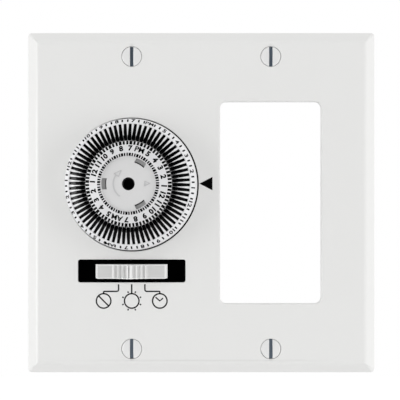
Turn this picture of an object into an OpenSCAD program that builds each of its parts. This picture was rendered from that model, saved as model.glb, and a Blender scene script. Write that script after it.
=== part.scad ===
// Two-gang timer light switch: a 24-hour dial timer with a three-position slide switch on the left,
// and an open decorator gang on the right.
// Every piece is drawn with x to the right, y up the wall and z out of the wall towards the room.
// z = 0 is the wall's surface and x = y = 0 is the middle of the plate.

/* [Wall plate] */
// Overall width of the two-gang plate
plate_w = 117; // [112:0.5:122]
// Overall height of the plate
plate_h = 114.6; // [112:0.2:122]
// How far the plate's face stands off the wall
plate_d = 5.6; // [5.2:0.1:6.5]
// Thickness of the moulded plate
plate_wall = 2.2; // [1.6:0.1:2.4]
// Width of the sloping edge, seen from the front
bevel_w = 3.4; // [2:0.1:4.5]
// Height of the straight foot under the sloping edge
foot_h = 0.8; // [0.4:0.1:1.5]
// Corner radius of the plate's outline
corner_r = 1.2; // [0.6:0.1:2]
// Distance between the two gangs' centre lines
gang_pitch = 46.04; // [46:0.02:47]
// Distance between the upper and lower plate screws
plate_screw_pitch = 96.84; // [96:0.02:98]

/* [Decorator opening] */
// Width of the opening in the right gang
deco_w = 33.5; // [30:0.5:36]
// Height of the opening in the right gang
deco_h = 67; // [60:0.5:70]
// Corner radius of the opening
deco_r = 2; // [1:0.1:4]

/* [Plate screws] */
// Diameter of the countersunk head
head_d = 7; // [6:0.1:8]
// Height of the head's cone
head_h = 1.8; // [1.2:0.1:2]
// Rise of the oval crown above the plate
crown_h = 0.35; // [0.2:0.05:0.6]
// Width of the screwdriver slot
driver_slot_w = 1.05; // [0.8:0.05:1.4]
// Depth of the screwdriver slot below the plate's face
driver_slot_d = 0.8; // [0.5:0.05:1]
// Diameter of the threaded shank
shank_d = 3.3; // [3:0.05:3.5]
// Length of the shank below the plate's face
shank_l = 13; // [11:0.5:20]

/* [Mounting strap] */
// Thickness of the steel strap
strap_t = 1.3; // [1:0.1:1.5]
// Length of the strap from end to end
strap_l = 105; // [103:0.5:108]
// Width of the strap's two ends
strap_end_w = 17; // [14:0.5:20]
// Distance between the holes for the wall box screws
box_screw_pitch = 83.3; // [82.5:0.1:84]
// Diameter of the holes for the wall box screws
box_hole_d = 4.4; // [4:0.1:5]
// Width of the earthing tab
tab_w = 8; // [7:0.5:9]
// Length of the earthing tab
tab_l = 8; // [7.6:0.1:9]

/* [Housing] */
// Width of the timer's housing
housing_w = 41; // [40:0.5:43]
// Height of the timer's housing
housing_h = 66; // [66:0.5:70]
// Depth of the front half of the housing
front_depth = 16; // [15.5:0.1:20]
// Depth of the rear half of the housing
rear_depth = 16; // [15:0.5:24]
// Thickness of the housing's walls
case_wall = 1.6; // [1.2:0.1:1.8]
// Diameter of the corner bosses
boss_d = 5.2; // [4.8:0.1:5.6]
// Diameter of the housing screws
case_screw_d = 2.4; // [2:0.1:2.6]
// Thickness of the steel plate between the two halves
mech_plate_t = 1; // [0.8:0.1:1.5]

/* [Dial] */
// Diameter of the dial's rim
dial_d = 43.4; // [43:0.1:45]
// Height of the dial's axis above the middle of the plate
dial_rise = 6; // [6:0.1:7]
// Running gap between the rim and the plate
dial_gap = 0.5; // [0.3:0.05:0.8]
// Height of the slotted ring above the plate's face
ring_h = 7.8; // [7:0.1:9]
// Height of the rim's straight foot above the plate's face
rim_h = 1.4; // [0.8:0.1:2.4]
// How far the rim leans in from its foot to the number band
rim_lean = 0.6; // [0.4:0.05:1]
// Height of the sloping number band
band_h = 1.6; // [1.2:0.1:2.2]
// Width of the sloping number band, seen from the front
band_w = 1.35; // [1.1:0.05:1.5]
// Thickness of the slotted deck
deck_t = 3; // [2.4:0.1:3.4]
// Diameter of the raised hub
hub_d = 27.4; // [26.6:0.1:28]
// Height of the hub's side above the slotted ring
hub_side_h = 2.7; // [2.6:0.05:4]
// Rise of the hub's coned number band
hub_cone_h = 2; // [1:0.1:3]
// Diameter of the sunk disc in the hub
disc_d = 17.4; // [17:0.1:19]
// Depth of the sunk disc
disc_drop = 0.6; // [0.3:0.05:1]
// Thickness of the sunk disc
disc_t = 1.3; // [1:0.1:1.5]
// Diameter of the hole in the middle of the hub
eye_d = 4.1; // [3.4:0.1:5]
// Time of day at the pointer, in hours
shown_time = 13.22; // [0:0.01:24]

/* [Trippers] */
// Width of the radial slots
slot_w = 0.9; // [0.8:0.02:1]
// Thickness of a tripper's blade
blade_t = 0.7; // [0.5:0.02:0.75]
// Width of a tripper's head
tripper_head_w = 1.12; // [0.8:0.02:1.14]
// Thickness of a tripper's head
tripper_head_t = 0.9; // [0.6:0.05:1]
// How far a tripper is pushed in
press_travel = 1.6; // [1.2:0.1:1.8]

/* [Slide switch] */
// Height of the switch below the middle of the plate
switch_drop = 22.6; // [22.4:0.1:23]
// Width of the switch window
window_w = 35.6; // [34:0.1:36]
// Height of the switch window
window_h = 7.6; // [7:0.1:7.8]
// Corner radius of the switch window
window_r = 0.7; // [0.4:0.1:1.2]
// Length of the slide knob
knob_l = 23.7; // [22:0.1:25]
// Width of the slide knob
knob_w = 4.6; // [4.2:0.1:5.6]
// Height of the knob's flat ends above the plate's face
knob_rise = 2.6; // [1.5:0.1:3.5]
// Thickness of the knob's flat ends
knob_t = 2; // [1.2:0.1:3]
// How far the knob's ends lean in
end_lean = 0.7; // [0.5:0.1:1.5]
// Height of the knob's middle ridge above its flat ends
ridge_h = 1.6; // [1:0.1:3]
// Distance between the grip ribs
rib_pitch = 1.5; // [1.2:0.05:1.6]
// Distance between neighbouring switch positions
slide_step = 4.4; // [4:0.1:4.6]

/* [Gear train] */
// Tooth size of the day gear and the idler pinion
day_module = 0.4; // [0.38:0.01:0.41]
// Tooth size of the idler wheel and the motor pinion
motor_module = 0.3; // [0.28:0.01:0.31]
// Diameter of the fixed dial spindle
spindle_d = 3.2; // [2.6:0.1:3.4]
// Outer diameter of the dial carrier's sleeve
sleeve_d = 9; // [8:0.1:10]
// Diameter of the motor's can
motor_d = 30; // [28:0.5:33]
// Depth of the motor's can
motor_depth = 11; // [10:0.5:13]

/* [Hidden] */
$fn = 64;
eps = 0.01;

// How far a cut runs past the face that it opens
over = 1;

// Clearances: running fit of a shaft, push fit, sliding gap and gap beside a moving blade
run_fit = 0.05;
push_fit = 0.02;
slide_gap = 0.2;
side_gap = 0.15;

// Places of the two gangs and of the plate's levels
gang_x = gang_pitch / 2;
face_z = plate_d;
back_z = plate_d - plate_wall;
screw_y = plate_screw_pitch / 2;
hole_fit = 0.25;

// The strap's ends stay behind the plate's rim
strap_clear = 1;
strap_end_y = min(strap_l / 2, plate_h / 2 - plate_wall - strap_clear);

// Levels of the housing, from the wall's surface inwards
deck_z = -case_wall;
split_z = -front_depth;
mech_z = split_z - mech_plate_t;
rear_z = mech_z - rear_depth;
inner_w = housing_w - 2 * case_wall;
boss_margin = 0.7;
boss_inset = boss_d / 2 + boss_margin;
boss_x = housing_w / 2 - boss_inset;
boss_y = housing_h / 2 - boss_inset;

// Levels and radii of the dial
rim_r = dial_d / 2;
band_r = rim_r - rim_lean;
land_r = band_r - band_w;
shield_t = 0.6;
shield_lap = 0.4;
dial_lift = 0.3;
dial_z = strap_t + shield_t + dial_lift;
ring_z = face_z + ring_h;
hub_r = hub_d / 2;
hub_edge_z = ring_z + hub_side_h;
hub_top_z = hub_edge_z + hub_cone_h;
disc_r = disc_d / 2;
disc_z = hub_top_z - disc_drop;
hub_inside_z = disc_z - disc_t;
hub_wall = 1.9;
hub_cavity_r = hub_r - hub_wall;
flange_t = 1.2;
flange_z = dial_z + flange_t;
slot_land = 0.4;
hub_clear = 0.1;
slot_in_r = hub_r + hub_clear;
slot_out_r = land_r - slot_land;
collar_r = slot_in_r - slot_land;
deck_under_z = ring_z - deck_t;
lug_reach = 0.45;
trough_r = slot_out_r + lug_reach + slide_gap;
snap_angles = [60, 180, 300];
snap_w = 3.5;
snap_l = 1.5;
snap_edge = 0.25;
snap_out_r = disc_r - snap_edge;
snap_in_r = snap_out_r - snap_l;
snap_drop = 0.8;

// Hours run round the dial against the clock hands, three trippers to the hour
hours = 24;
hour_angle = 360 / hours;
per_hour = 3;
slot_angle = hour_angle / per_hour;
function hour_at(h) = (h - shown_time) * hour_angle;
function slot_at(h, k) = hour_at(h) + slot_angle * (k + 0.5);

// Levels and radii of a tripper
foot_drop = 1.4;
foot_z = deck_under_z - foot_drop;
stop_gap = 0.1;
head_z = ring_z + press_travel + stop_gap;
head_top_z = head_z + tripper_head_t;
tripper_in_r = slot_in_r + side_gap;
tripper_out_r = slot_out_r - side_gap;
head_l = 1.6;
head_nose = 0.5;
head_neck = 1.2;
head_out_r = tripper_in_r + head_l;
bar_stand = 0.05;
tip_z = ring_z + bar_stand;

// Ribs between the slots, as high by the heads as a tripper travels and level with the deck at the number band
rib_foot = 0.45;
rib_in_r = head_out_r + side_gap;
rib_out_r = slot_out_r - rib_foot;
rib_top_z = ring_z + press_travel;

// Slide switch
switch_y = -switch_drop;
tray_rim = 1.2;
tray_z = back_z - slide_gap;
lip_gap = 0.12;
lip_t = 0.4;
lip_drop = 0.15;
lip_z = face_z - lip_drop;
stem_l = 6;
stem_w = 1.8;
stem_gap = 0.4;
stem_slot_l = stem_l + 2 * slide_step + 2 * stem_gap;
stem_slot_w = stem_w + 2 * stem_gap;
knob_z = tray_z + slide_gap;
knob_end_z = face_z + knob_rise;
neck_in = 2;
neck_w = 3;
ridge_w = 1.5;
rib_w = 0.5;
ribs = 3;
rib_start = 0.15;
carriage_l = 16;
carriage_w = 8;
carriage_t = 3;
carriage_z = deck_z - slide_gap;
carriage_under_z = carriage_z - carriage_t;
notch_d = 0.5;
notch_w = 1.6;
rail_l = 28;
rail_w = 1;
detent_room = 1.4;
detent_t = 0.3;
detent_l = 20;
wiper_l = 12;
wiper_w = 2.4;
wiper_t = 0.3;
wiper_dip = 1.2;
dimple_w = 1.2;
pad_gap = 0.1;
pad_t = 0.6;
pad_w = 3;
pad_z = carriage_under_z - wiper_dip - pad_gap;
pad_l = 2.6;
board_z = pad_z - pad_t;
board_t = 1.2;
board_h = 8.4;

// Gears: teeth, places and levels
day_teeth = 72;
idler_pinion_teeth = 12;
idler_teeth = 60;
motor_teeth = 10;
addendum = 0.8;
dedendum = 1.2;
root_share = 0.58;
tip_share = 0.2;
idler_dir = 270;
motor_dir = 90;
function pitch_r(teeth, size) = teeth * size / 2;
idler_reach = pitch_r(day_teeth + idler_pinion_teeth, day_module);
idler_at = [-gang_x, dial_rise] + idler_reach * [cos(idler_dir), sin(idler_dir)];
motor_reach = pitch_r(idler_teeth + motor_teeth, motor_module);
pinion_at = idler_at + motor_reach * [cos(motor_dir), sin(motor_dir)];
sleeve_r = sleeve_d / 2;
bearing_wall = 2.5;
bearing_h = 0.8;
bearing_r = sleeve_r + bearing_wall;
bearing_z = deck_z - bearing_h;
day_z = bearing_z - slide_gap;
day_t = 1.8;
clutch_t = 0.5;
retainer_t = 0.7;
clutch_z = day_z - day_t;
retainer_z = clutch_z - clutch_t;
sleeve_z = retainer_z - retainer_t - slide_gap;
idler_t = 1.2;
idler_z = board_z - board_t - 2 * slide_gap;
idler_under_z = idler_z - idler_t;
idler_pinion_top_z = bearing_z;
axle_r = 0.8;
axle_foot_r = 1.6;
motor_shaft_r = 0.75;
motor_pinion_over = 0.4;
spindle_r = spindle_d / 2;
spindle_drop = 4.4;
spindle_top_z = ring_z - spindle_drop;
spindle_foot_t = 1;

// Motor
motor_r = motor_d / 2;
motor_rise = 2;
motor_at = [-gang_x, dial_rise + motor_rise];
motor_wall = 0.8;
motor_front_t = 1.2;
coil_in_r = 4;
coil_out_r = 9.5;
coil_gap = 3;

// Follower lever and timer contact
nose_r = (slot_in_r + slot_out_r) / 2;
nose_x = -gang_x + nose_r;
nose_l = 2;
nose_w = 2.1;
nose_dir = 2.2;
nose_y = dial_rise + nose_r * sin(nose_dir);
nose_gap = 0.4;
nose_top_z = foot_z - nose_gap;
lever_w = 2.4;
lever_t = 2;
pivot_reach = 20;
pivot_y = dial_rise - pivot_reach;
pivot_z = -5;
pivot_r = 0.8;
lever_eye_r = 1.6;
lever_under_z = pivot_z - lever_t / 2;
heel_drop = 2;
heel_y = dial_rise - heel_drop;
heel_w = 2;
blade_z = -9;
leaf_t = 0.3;
leaf_w = 2;
leaf_gap = 0.1;
leaf_drop = 5;
leaf_tip_y = dial_rise - leaf_drop;
anchor_w = 1.9;
anchor_room = 2.1;
leaf_root_y = boss_y - boss_d / 2 - anchor_room - anchor_w - leaf_gap;
contact_r = 1;
contact_t = 0.6;
contact_inset = 1.3;
contact_y = leaf_tip_y + contact_inset;
contact_open = 1.5;
contact_z = blade_z - leaf_t - contact_t - contact_open;
bracket_t = 0.8;
anchor_over = 0.4;
anchor_drop = 3.4;
lug_t = 1.2;
lug_r = 1.8;
nose_hole_w = 3;
nose_hole_l = 4.4;

// Terminals and small screws
terminal_l = 12;
terminal_w = 9;
terminal_t = 0.8;
terminal_pitch = 12.5;
case_head_r = 2.2;
terminal_room = 1.5;
terminal_y = terminal_l / 2 + terminal_room + case_head_r - boss_y;
terminal_places = [-1, 0, 1];
terminal_screw_r = 1.9;
terminal_head_r = 3.4;
terminal_head_h = 2.2;
terminal_shank_l = 5;
barrier_w = 1.2;
barrier_h = 3;
case_head_h = 1.8;
case_slot_w = 0.7;
ground_r = 1.7;
ground_head_r = 3.3;
ground_head_h = 2.2;
ground_shank_over = 1;
ground_at = [-gang_x - strap_end_w / 2 - tab_w / 2, -housing_h / 2 - tab_l / 2];

noon = hours / 2;
function clock_hour(h) = h % noon == 0 ? noon : h % noon;
function tripper_name(h) = str("tripper_", h < noon ? "am_" : "pm_", clock_hour(h));

// Shapes shared by the pieces

// Turns the drawing frame upright, so that its z points out of the wall
module upright() rotate([90, 0, 0]) children();

module at_gang() translate([-gang_x, 0, 0]) children();

module at_dial() translate([-gang_x, dial_rise, 0]) children();

module at_switch() translate([-gang_x, switch_y, 0]) children();

module at_plate_screws()
    for (sx = [-1, 1], sy = [-1, 1]) translate([sx * gang_x, sy * screw_y, 0]) children();

module at_bosses()
    for (sx = [-1, 1], sy = [-1, 1]) translate([sx * boss_x, sy * boss_y, 0]) children();

// Box between two x, two y and two z values
module block(x, y, z) translate([x[0], y[0], z[0]]) cube([x[1] - x[0], y[1] - y[0], z[1] - z[0]]);

// Upright round bar between two z values
module bar(r, z) translate([0, 0, z[0]]) cylinder(r = r, h = z[1] - z[0]);

module rounded_rect(w, h, r) {
    square([w - 2 * r, h], center = true);
    square([w, h - 2 * r], center = true);
    for (sx = [-1, 1], sy = [-1, 1]) translate([sx * (w / 2 - r), sy * (h / 2 - r)]) circle(r);
}

module rounded_block(w, h, r, z) translate([0, 0, z[0]]) linear_extrude(z[1] - z[0]) rounded_rect(w, h, r);

// A plate's cross-section: straight feet, then slopes up to the flat face
function edge_profile(w, d) = [
    [-w / 2, 0], [w / 2, 0], [w / 2, foot_h], [w / 2 - bevel_w, d], [bevel_w - w / 2, d], [-w / 2, foot_h]
];

// Slab whose four sides slope in towards its face and meet in mitred corners
module bevelled_slab(w, h, d, r)
    intersection() {
        rounded_block(w, h, r, [0, d]);
        rotate([90, 0, 0]) translate([0, 0, -h / 2]) linear_extrude(h) polygon(edge_profile(w, d));
        rotate([90, 0, 90]) translate([0, 0, -w / 2]) linear_extrude(w) polygon(edge_profile(h, d));
    }

// Outline of a spur gear with straight-sided teeth, one of them on the x axis
module gear_outline(teeth, size) {
    root_r = pitch_r(teeth, size) - dedendum * size;
    tip_r = pitch_r(teeth, size) + addendum * size;
    pitch = 360 / teeth;
    root_half = root_share * pitch / 2;
    tip_half = tip_share * pitch / 2;
    flank = [[root_r, -root_half], [tip_r, -tip_half], [tip_r, tip_half], [root_r, root_half]];
    polygon([
        for (i = [0 : teeth - 1], c = flank) c[0] * [cos(i * pitch + c[1]), sin(i * pitch + c[1])]
    ]);
}

module gear(teeth, size, turn, z)
    translate([0, 0, z[0]]) rotate(turn) linear_extrude(z[1] - z[0]) gear_outline(teeth, size);

// Slotted cheese head with its shank below it, the head's seat at z = 0
module slotted_screw(head_r, head_height, slot, shank_r, shank)
    difference() {
        union() {
            bar(head_r, [0, head_height]);
            bar(shank_r, [-shank, 0]);
        }
        block([-slot / 2, slot / 2], [-head_r - eps, head_r + eps], [head_height / 2, head_height + eps]);
    }

// The plate, its screws and the strap behind it

module wall_plate()
    color("whitesmoke") upright() difference() {
        bevelled_slab(plate_w, plate_h, plate_d, corner_r);
        translate([0, 0, -eps])
            bevelled_slab(plate_w - 2 * plate_wall, plate_h - 2 * plate_wall, back_z + eps, corner_r);
        at_dial() bar(rim_r + dial_gap, [0, face_z + over]);
        at_switch() rounded_block(window_w, window_h, window_r, [0, face_z + over]);
        translate([gang_x, 0, 0]) rounded_block(deco_w, deco_h, deco_r, [0, face_z + over]);
        at_plate_screws() {
            bar(shank_d / 2 + hole_fit, [0, face_z + over]);
            translate([0, 0, face_z - head_h])
                cylinder(r1 = shank_d / 2 + push_fit, r2 = head_d / 2 + push_fit, h = head_h);
        }
    }

module plate_screws()
    color("ghostwhite") upright() at_plate_screws() difference() {
        translate([0, 0, face_z]) rotate_extrude() polygon([
            [0, crown_h], [head_d / 4, 0.75 * crown_h], [head_d / 2, 0], [shank_d / 2, -head_h],
            [shank_d / 2, -shank_l], [0, -shank_l]
        ]);
        block(
            [-driver_slot_w / 2, driver_slot_w / 2], [-head_d, head_d],
            [face_z - driver_slot_d, face_z + over]
        );
    }

module mounting_strap()
    color("silver") upright() difference() {
        union() {
            at_gang() block([-strap_end_w / 2, strap_end_w / 2], [-strap_end_y, strap_end_y], [0, strap_t]);
            at_gang() case_outside([0, strap_t]);
            translate([ground_at[0], ground_at[1], 0])
                block([-tab_w / 2, tab_w / 2], [-tab_l / 2, tab_l / 2 + eps], [0, strap_t]);
        }
        at_gang() for (s = [-1, 1]) {
            translate([0, s * screw_y, 0]) bar(shank_d / 2 + run_fit, [-over, strap_t + over]);
            translate([0, s * box_screw_pitch / 2, 0]) bar(box_hole_d / 2, [-over, strap_t + over]);
        }
        at_gang() at_bosses() bar(case_screw_d / 2 + run_fit, [-over, strap_t + over]);
        at_dial() bar(bearing_r, [-over, strap_t + over]);
        nose_hole([-over, strap_t + over]);
        at_switch() rounded_block(
            window_w + 2 * tray_rim + 2 * side_gap, window_h + 2 * tray_rim + 2 * side_gap, window_r,
            [-over, strap_t + over]
        );
        translate([ground_at[0], ground_at[1], 0]) bar(ground_r + run_fit, [-over, strap_t + over]);
    }

// Hole through which the follower's nose reaches the trippers
module nose_hole(z)
    block(
        [nose_x - nose_hole_w / 2, nose_x + nose_hole_w / 2],
        [nose_y - nose_hole_l / 2, nose_y + nose_hole_l / 2], z
    );

module ground_screw()
    color("green") upright() translate([ground_at[0], ground_at[1], 0]) rotate([180, 0, 0])
        slotted_screw(ground_head_r, ground_head_h, case_slot_w, ground_r, strap_t + ground_shank_over);

// The housing

// The housing's outer and inner outlines between two z values
module case_outside(z) block([-housing_w / 2, housing_w / 2], [-housing_h / 2, housing_h / 2], z);

module case_inside(z)
    block([-inner_w / 2, inner_w / 2], [case_wall - housing_h / 2, housing_h / 2 - case_wall], z);

module front_housing()
    color("dimgray") upright() difference() {
        union() {
            at_gang() difference() {
                case_outside([split_z, 0]);
                case_inside([split_z - over, deck_z]);
            }
            at_gang() at_bosses() bar(boss_d / 2, [split_z, deck_z + eps]);
            at_dial() bar(bearing_r, [bearing_z, deck_z + eps]);
            slide_rails();
            pivot_lug();
        }
        at_gang() at_bosses() bar(case_screw_d / 2 + run_fit, [split_z - over, over]);
        at_dial() bar(sleeve_r + run_fit, [bearing_z - over, over]);
        nose_hole([deck_z - over, over]);
        at_switch() stem_slot([deck_z - over, over]);
        translate([0, pivot_y, pivot_z]) rotate([0, 90, 0]) translate([0, 0, nose_x - lever_w - lug_t])
            cylinder(r = pivot_r + push_fit, h = lug_t + lever_w);
    }

// Two rails that guide the slide carriage, the lower one with room for the detent spring
module slide_rails()
    at_switch() for (y = [carriage_w / 2 + slide_gap, -carriage_w / 2 - detent_room - rail_w])
        block([-rail_l / 2, rail_l / 2], [y, y + rail_w], [carriage_under_z, deck_z + eps]);

// Lug that holds the inner end of the follower's pin
module pivot_lug()
    block(
        [nose_x - lever_w / 2 - slide_gap - lug_t, nose_x - lever_w / 2 - slide_gap],
        [pivot_y - lug_r, pivot_y + lug_r], [pivot_z - lug_r, deck_z + eps]
    );

module stem_slot(z)
    block([-stem_slot_l / 2, stem_slot_l / 2], [-stem_slot_w / 2, stem_slot_w / 2], z);

module mechanism_plate()
    color("lightsteelblue") upright() difference() {
        at_gang() case_outside([mech_z, split_z]);
        at_gang() at_bosses() bar(case_screw_d / 2 + run_fit, [mech_z - over, split_z + over]);
        at_dial() bar(spindle_r + push_fit, [mech_z - over, split_z + over]);
        translate([idler_at[0], idler_at[1], 0]) bar(axle_r + push_fit, [mech_z - over, split_z + over]);
        translate([pinion_at[0], pinion_at[1], 0]) bar(2 * motor_shaft_r, [mech_z - over, split_z + over]);
    }

module rear_housing()
    color("dimgray") upright() at_gang() difference() {
        union() {
            difference() {
                case_outside([rear_z, mech_z]);
                case_inside([rear_z + case_wall, mech_z + over]);
            }
            at_bosses() bar(boss_d / 2, [rear_z + case_wall - eps, mech_z]);
            for (s = [-1, 1]) translate([s * terminal_pitch / 2, terminal_y, 0])
                block(
                    [-barrier_w / 2, barrier_w / 2], [-terminal_l / 2, terminal_l / 2],
                    [rear_z - barrier_h, rear_z + eps]
                );
        }
        at_bosses() bar(case_screw_d / 2 + run_fit, [rear_z - over, mech_z + over]);
        at_terminals() bar(terminal_screw_r + run_fit, [rear_z - over, rear_z + case_wall + over]);
    }

module at_terminals()
    for (p = terminal_places) translate([p * terminal_pitch, terminal_y, 0]) children();

module housing_screws()
    color("silver") upright() at_gang() at_bosses() translate([0, 0, rear_z]) rotate([180, 0, 0])
        slotted_screw(case_head_r, case_head_h, case_slot_w, case_screw_d / 2, strap_t - rear_z);

module terminal_plates()
    color("goldenrod") upright() at_gang() at_terminals() difference() {
        block(
            [-terminal_w / 2, terminal_w / 2], [-terminal_l / 2, terminal_l / 2],
            [rear_z - terminal_t, rear_z]
        );
        bar(terminal_screw_r + run_fit, [rear_z - terminal_t - over, rear_z + over]);
    }

module terminal_screws()
    color("darkgoldenrod") upright() at_gang() at_terminals()
        translate([0, 0, rear_z - terminal_t]) rotate([180, 0, 0])
            slotted_screw(
                terminal_head_r, terminal_head_h, case_slot_w, terminal_screw_r, terminal_shank_l
            );

// The dial

// Disc behind the dial that closes the plate's round hole
module dial_shield()
    color("black") upright() difference() {
        at_dial() bar(rim_r + dial_gap + shield_lap, [strap_t, strap_t + shield_t]);
        at_dial() bar(sleeve_r + slide_gap, [0, strap_t + shield_t + over]);
        nose_hole([0, strap_t + shield_t + over]);
    }

module dial_ring()
    color("white") upright() at_dial() difference() {
        rotate_extrude() polygon([
            [rim_r, dial_z], [rim_r, face_z + rim_h], [band_r, ring_z - band_h], [land_r, ring_z],
            [rib_out_r, ring_z], [rib_in_r, rib_top_z], [rib_in_r, ring_z],
            [hub_cavity_r, ring_z], [hub_cavity_r, flange_z], [collar_r, flange_z],
            [collar_r, deck_under_z], [trough_r, deck_under_z], [trough_r, dial_z]
        ]);
        for (h = [0 : hours - 1], k = [0 : per_hour - 1]) rotate(slot_at(h, k))
            block([slot_in_r, slot_out_r], [-slot_w / 2, slot_w / 2], [deck_under_z - over, rib_top_z + over]);
    }

module dial_hub()
    color("white") upright() at_dial() difference() {
        rotate_extrude() polygon([
            [hub_r, ring_z], [hub_r, hub_edge_z], [disc_r + slide_gap, hub_top_z], [disc_r, hub_top_z],
            [disc_r, disc_z], [eye_d / 2, disc_z], [eye_d / 2, hub_inside_z],
            [hub_cavity_r, hub_inside_z], [hub_cavity_r, ring_z]
        ]);
        for (a = snap_angles) rotate(a)
            block([snap_in_r, snap_out_r], [-snap_w / 2, snap_w / 2], [ring_z, disc_z + over]);
    }

module dial_carrier()
    color("darkgray") upright() at_dial() {
        rotate_extrude() polygon([
            [spindle_r + run_fit, sleeve_z], [sleeve_r, sleeve_z], [sleeve_r, dial_z], [collar_r, dial_z],
            [collar_r, flange_z], [sleeve_r, flange_z], [sleeve_r, hub_inside_z],
            [spindle_r + run_fit, hub_inside_z]
        ]);
        for (a = snap_angles) rotate(a)
            block(
                [snap_in_r + stop_gap, snap_out_r - stop_gap],
                [stop_gap - snap_w / 2, snap_w / 2 - stop_gap], [flange_z - eps, disc_z - snap_drop]
            );
    }

// Three neighbouring trippers, one hour of switching
module hour_trippers(h)
    color("black") upright() at_dial() for (k = [0 : per_hour - 1]) rotate(slot_at(h, k)) {
        rotate([90, 0, 0]) translate([0, 0, -blade_t / 2]) linear_extrude(blade_t) polygon([
            [tripper_in_r, foot_z], [slot_out_r + lug_reach, foot_z],
            [slot_out_r + lug_reach, deck_under_z - stop_gap], [tripper_out_r, deck_under_z - stop_gap],
            [tripper_out_r, tip_z], [rib_out_r, tip_z], [head_out_r, rib_top_z + bar_stand],
            [head_out_r, head_top_z], [tripper_in_r, head_top_z]
        ]);
        translate([tripper_in_r, 0, head_z]) linear_extrude(tripper_head_t) polygon([
            [0, -blade_t / 2], [head_nose, -tripper_head_w / 2], [head_neck, -tripper_head_w / 2],
            [head_l, -blade_t / 2], [head_l, blade_t / 2],
            [head_neck, tripper_head_w / 2], [head_nose, tripper_head_w / 2], [0, blade_t / 2]
        ]);
    }

module dial_spindle()
    color("slategray") upright() at_dial() {
        bar(spindle_r, [mech_z, spindle_top_z]);
        bar(2 * spindle_r, [split_z, split_z + spindle_foot_t]);
    }

module day_gear()
    color("ivory") upright() at_dial() difference() {
        gear(day_teeth, day_module, idler_dir, [clutch_z, day_z]);
        bar(sleeve_r + push_fit, [clutch_z - over, day_z + over]);
    }

module clutch_spring()
    color("darkgoldenrod") upright() at_dial() rotate_extrude() polygon([
        [sleeve_r + push_fit, retainer_z], [sleeve_r + clutch_t, retainer_z],
        [bearing_r, clutch_z], [bearing_r - clutch_t, clutch_z]
    ]);

module dial_retainer()
    color("silver") upright() at_dial() difference() {
        bar(bearing_r, [retainer_z - retainer_t, retainer_z]);
        bar(sleeve_r + push_fit, [retainer_z - retainer_t - over, retainer_z + over]);
    }

// The gear train and its motor

module idler_gear()
    color("ivory") upright() translate([idler_at[0], idler_at[1], 0]) difference() {
        union() {
            gear(idler_teeth, motor_module, motor_dir, [idler_under_z, idler_z]);
            gear(
                idler_pinion_teeth, day_module, idler_dir + 180 + 180 / idler_pinion_teeth,
                [idler_z - eps, idler_pinion_top_z]
            );
        }
        bar(axle_r + run_fit, [idler_under_z - over, idler_pinion_top_z + over]);
    }

module idler_axle()
    color("slategray") upright() translate([idler_at[0], idler_at[1], 0]) {
        bar(axle_r, [mech_z, deck_z - slide_gap]);
        bar(axle_foot_r, [split_z, idler_under_z - slide_gap]);
    }

module motor_pinion()
    color("goldenrod") upright() translate([pinion_at[0], pinion_at[1], 0]) {
        gear(
            motor_teeth, motor_module, motor_dir + 180 + 180 / motor_teeth,
            [idler_under_z - motor_pinion_over, idler_z + motor_pinion_over]
        );
        bar(motor_shaft_r, [mech_z - coil_gap, idler_z]);
    }

module motor_can()
    color("gainsboro") upright() difference() {
        translate([motor_at[0], motor_at[1], 0]) difference() {
            bar(motor_r, [mech_z - motor_depth, mech_z]);
            bar(motor_r - motor_wall, [mech_z - motor_depth + motor_wall, mech_z - motor_front_t]);
        }
        translate([pinion_at[0], pinion_at[1], 0])
            bar(motor_shaft_r + run_fit, [mech_z - motor_front_t - over, mech_z + over]);
    }

module motor_coil()
    color("sienna") upright() translate([motor_at[0], motor_at[1], 0]) difference() {
        bar(coil_out_r, [mech_z - motor_depth + motor_wall, mech_z - coil_gap]);
        bar(coil_in_r, [mech_z - motor_depth, mech_z]);
    }

// The follower and the timer's contact

module follower_lever()
    color("ivory") upright() translate([nose_x, 0, 0]) difference() {
        union() {
            block(
                [-lever_w / 2, lever_w / 2], [pivot_y, nose_y + nose_w / 2],
                [lever_under_z, lever_under_z + lever_t]
            );
            block(
                [-nose_l / 2, nose_l / 2], [nose_y - nose_w / 2, nose_y + nose_w / 2],
                [lever_under_z, nose_top_z]
            );
            block(
                [-leaf_w / 2, leaf_w / 2], [heel_y - heel_w / 2, heel_y + heel_w / 2],
                [blade_z + slide_gap, lever_under_z + eps]
            );
            along_pivot(lever_w) cylinder(r = lever_eye_r, h = lever_w);
        }
        along_pivot(lever_w + 2 * over) cylinder(r = pivot_r + run_fit, h = lever_w + 2 * over);
    }

// Lays a bar along the follower's pivot, centred on the lever
module along_pivot(length) translate([-length / 2, pivot_y, pivot_z]) rotate([0, 90, 0]) children();

module follower_pin()
    color("slategray") upright() translate([0, pivot_y, pivot_z]) rotate([0, 90, 0])
        translate([0, 0, nose_x - lever_w / 2 - slide_gap - lug_t])
            cylinder(r = pivot_r, h = lug_t + slide_gap + lever_w / 2 + inner_w / 2 - gang_x - nose_x);

module contact_blade()
    color("peru") upright() translate([nose_x, 0, 0]) {
        block([-leaf_w / 2, leaf_w / 2], [leaf_tip_y, leaf_root_y], [blade_z - leaf_t, blade_z]);
        translate([0, contact_y, 0]) bar(contact_r, [blade_z - leaf_t - contact_t, blade_z - leaf_t + eps]);
    }

module blade_anchor()
    color("goldenrod") upright()
        block(
            [nose_x - leaf_w / 2, inner_w / 2 - gang_x],
            [leaf_root_y + leaf_gap, leaf_root_y + leaf_gap + anchor_w],
            [blade_z - anchor_drop, blade_z + anchor_over]
        );

module fixed_contact()
    color("goldenrod") upright() {
        block(
            [nose_x - leaf_w / 2, inner_w / 2 - gang_x],
            [contact_y - heel_w, contact_y + heel_w],
            [contact_z - contact_t - bracket_t, contact_z - contact_t]
        );
        translate([nose_x, contact_y, 0]) bar(contact_r, [contact_z - contact_t - eps, contact_z]);
    }

// The slide switch

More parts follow.
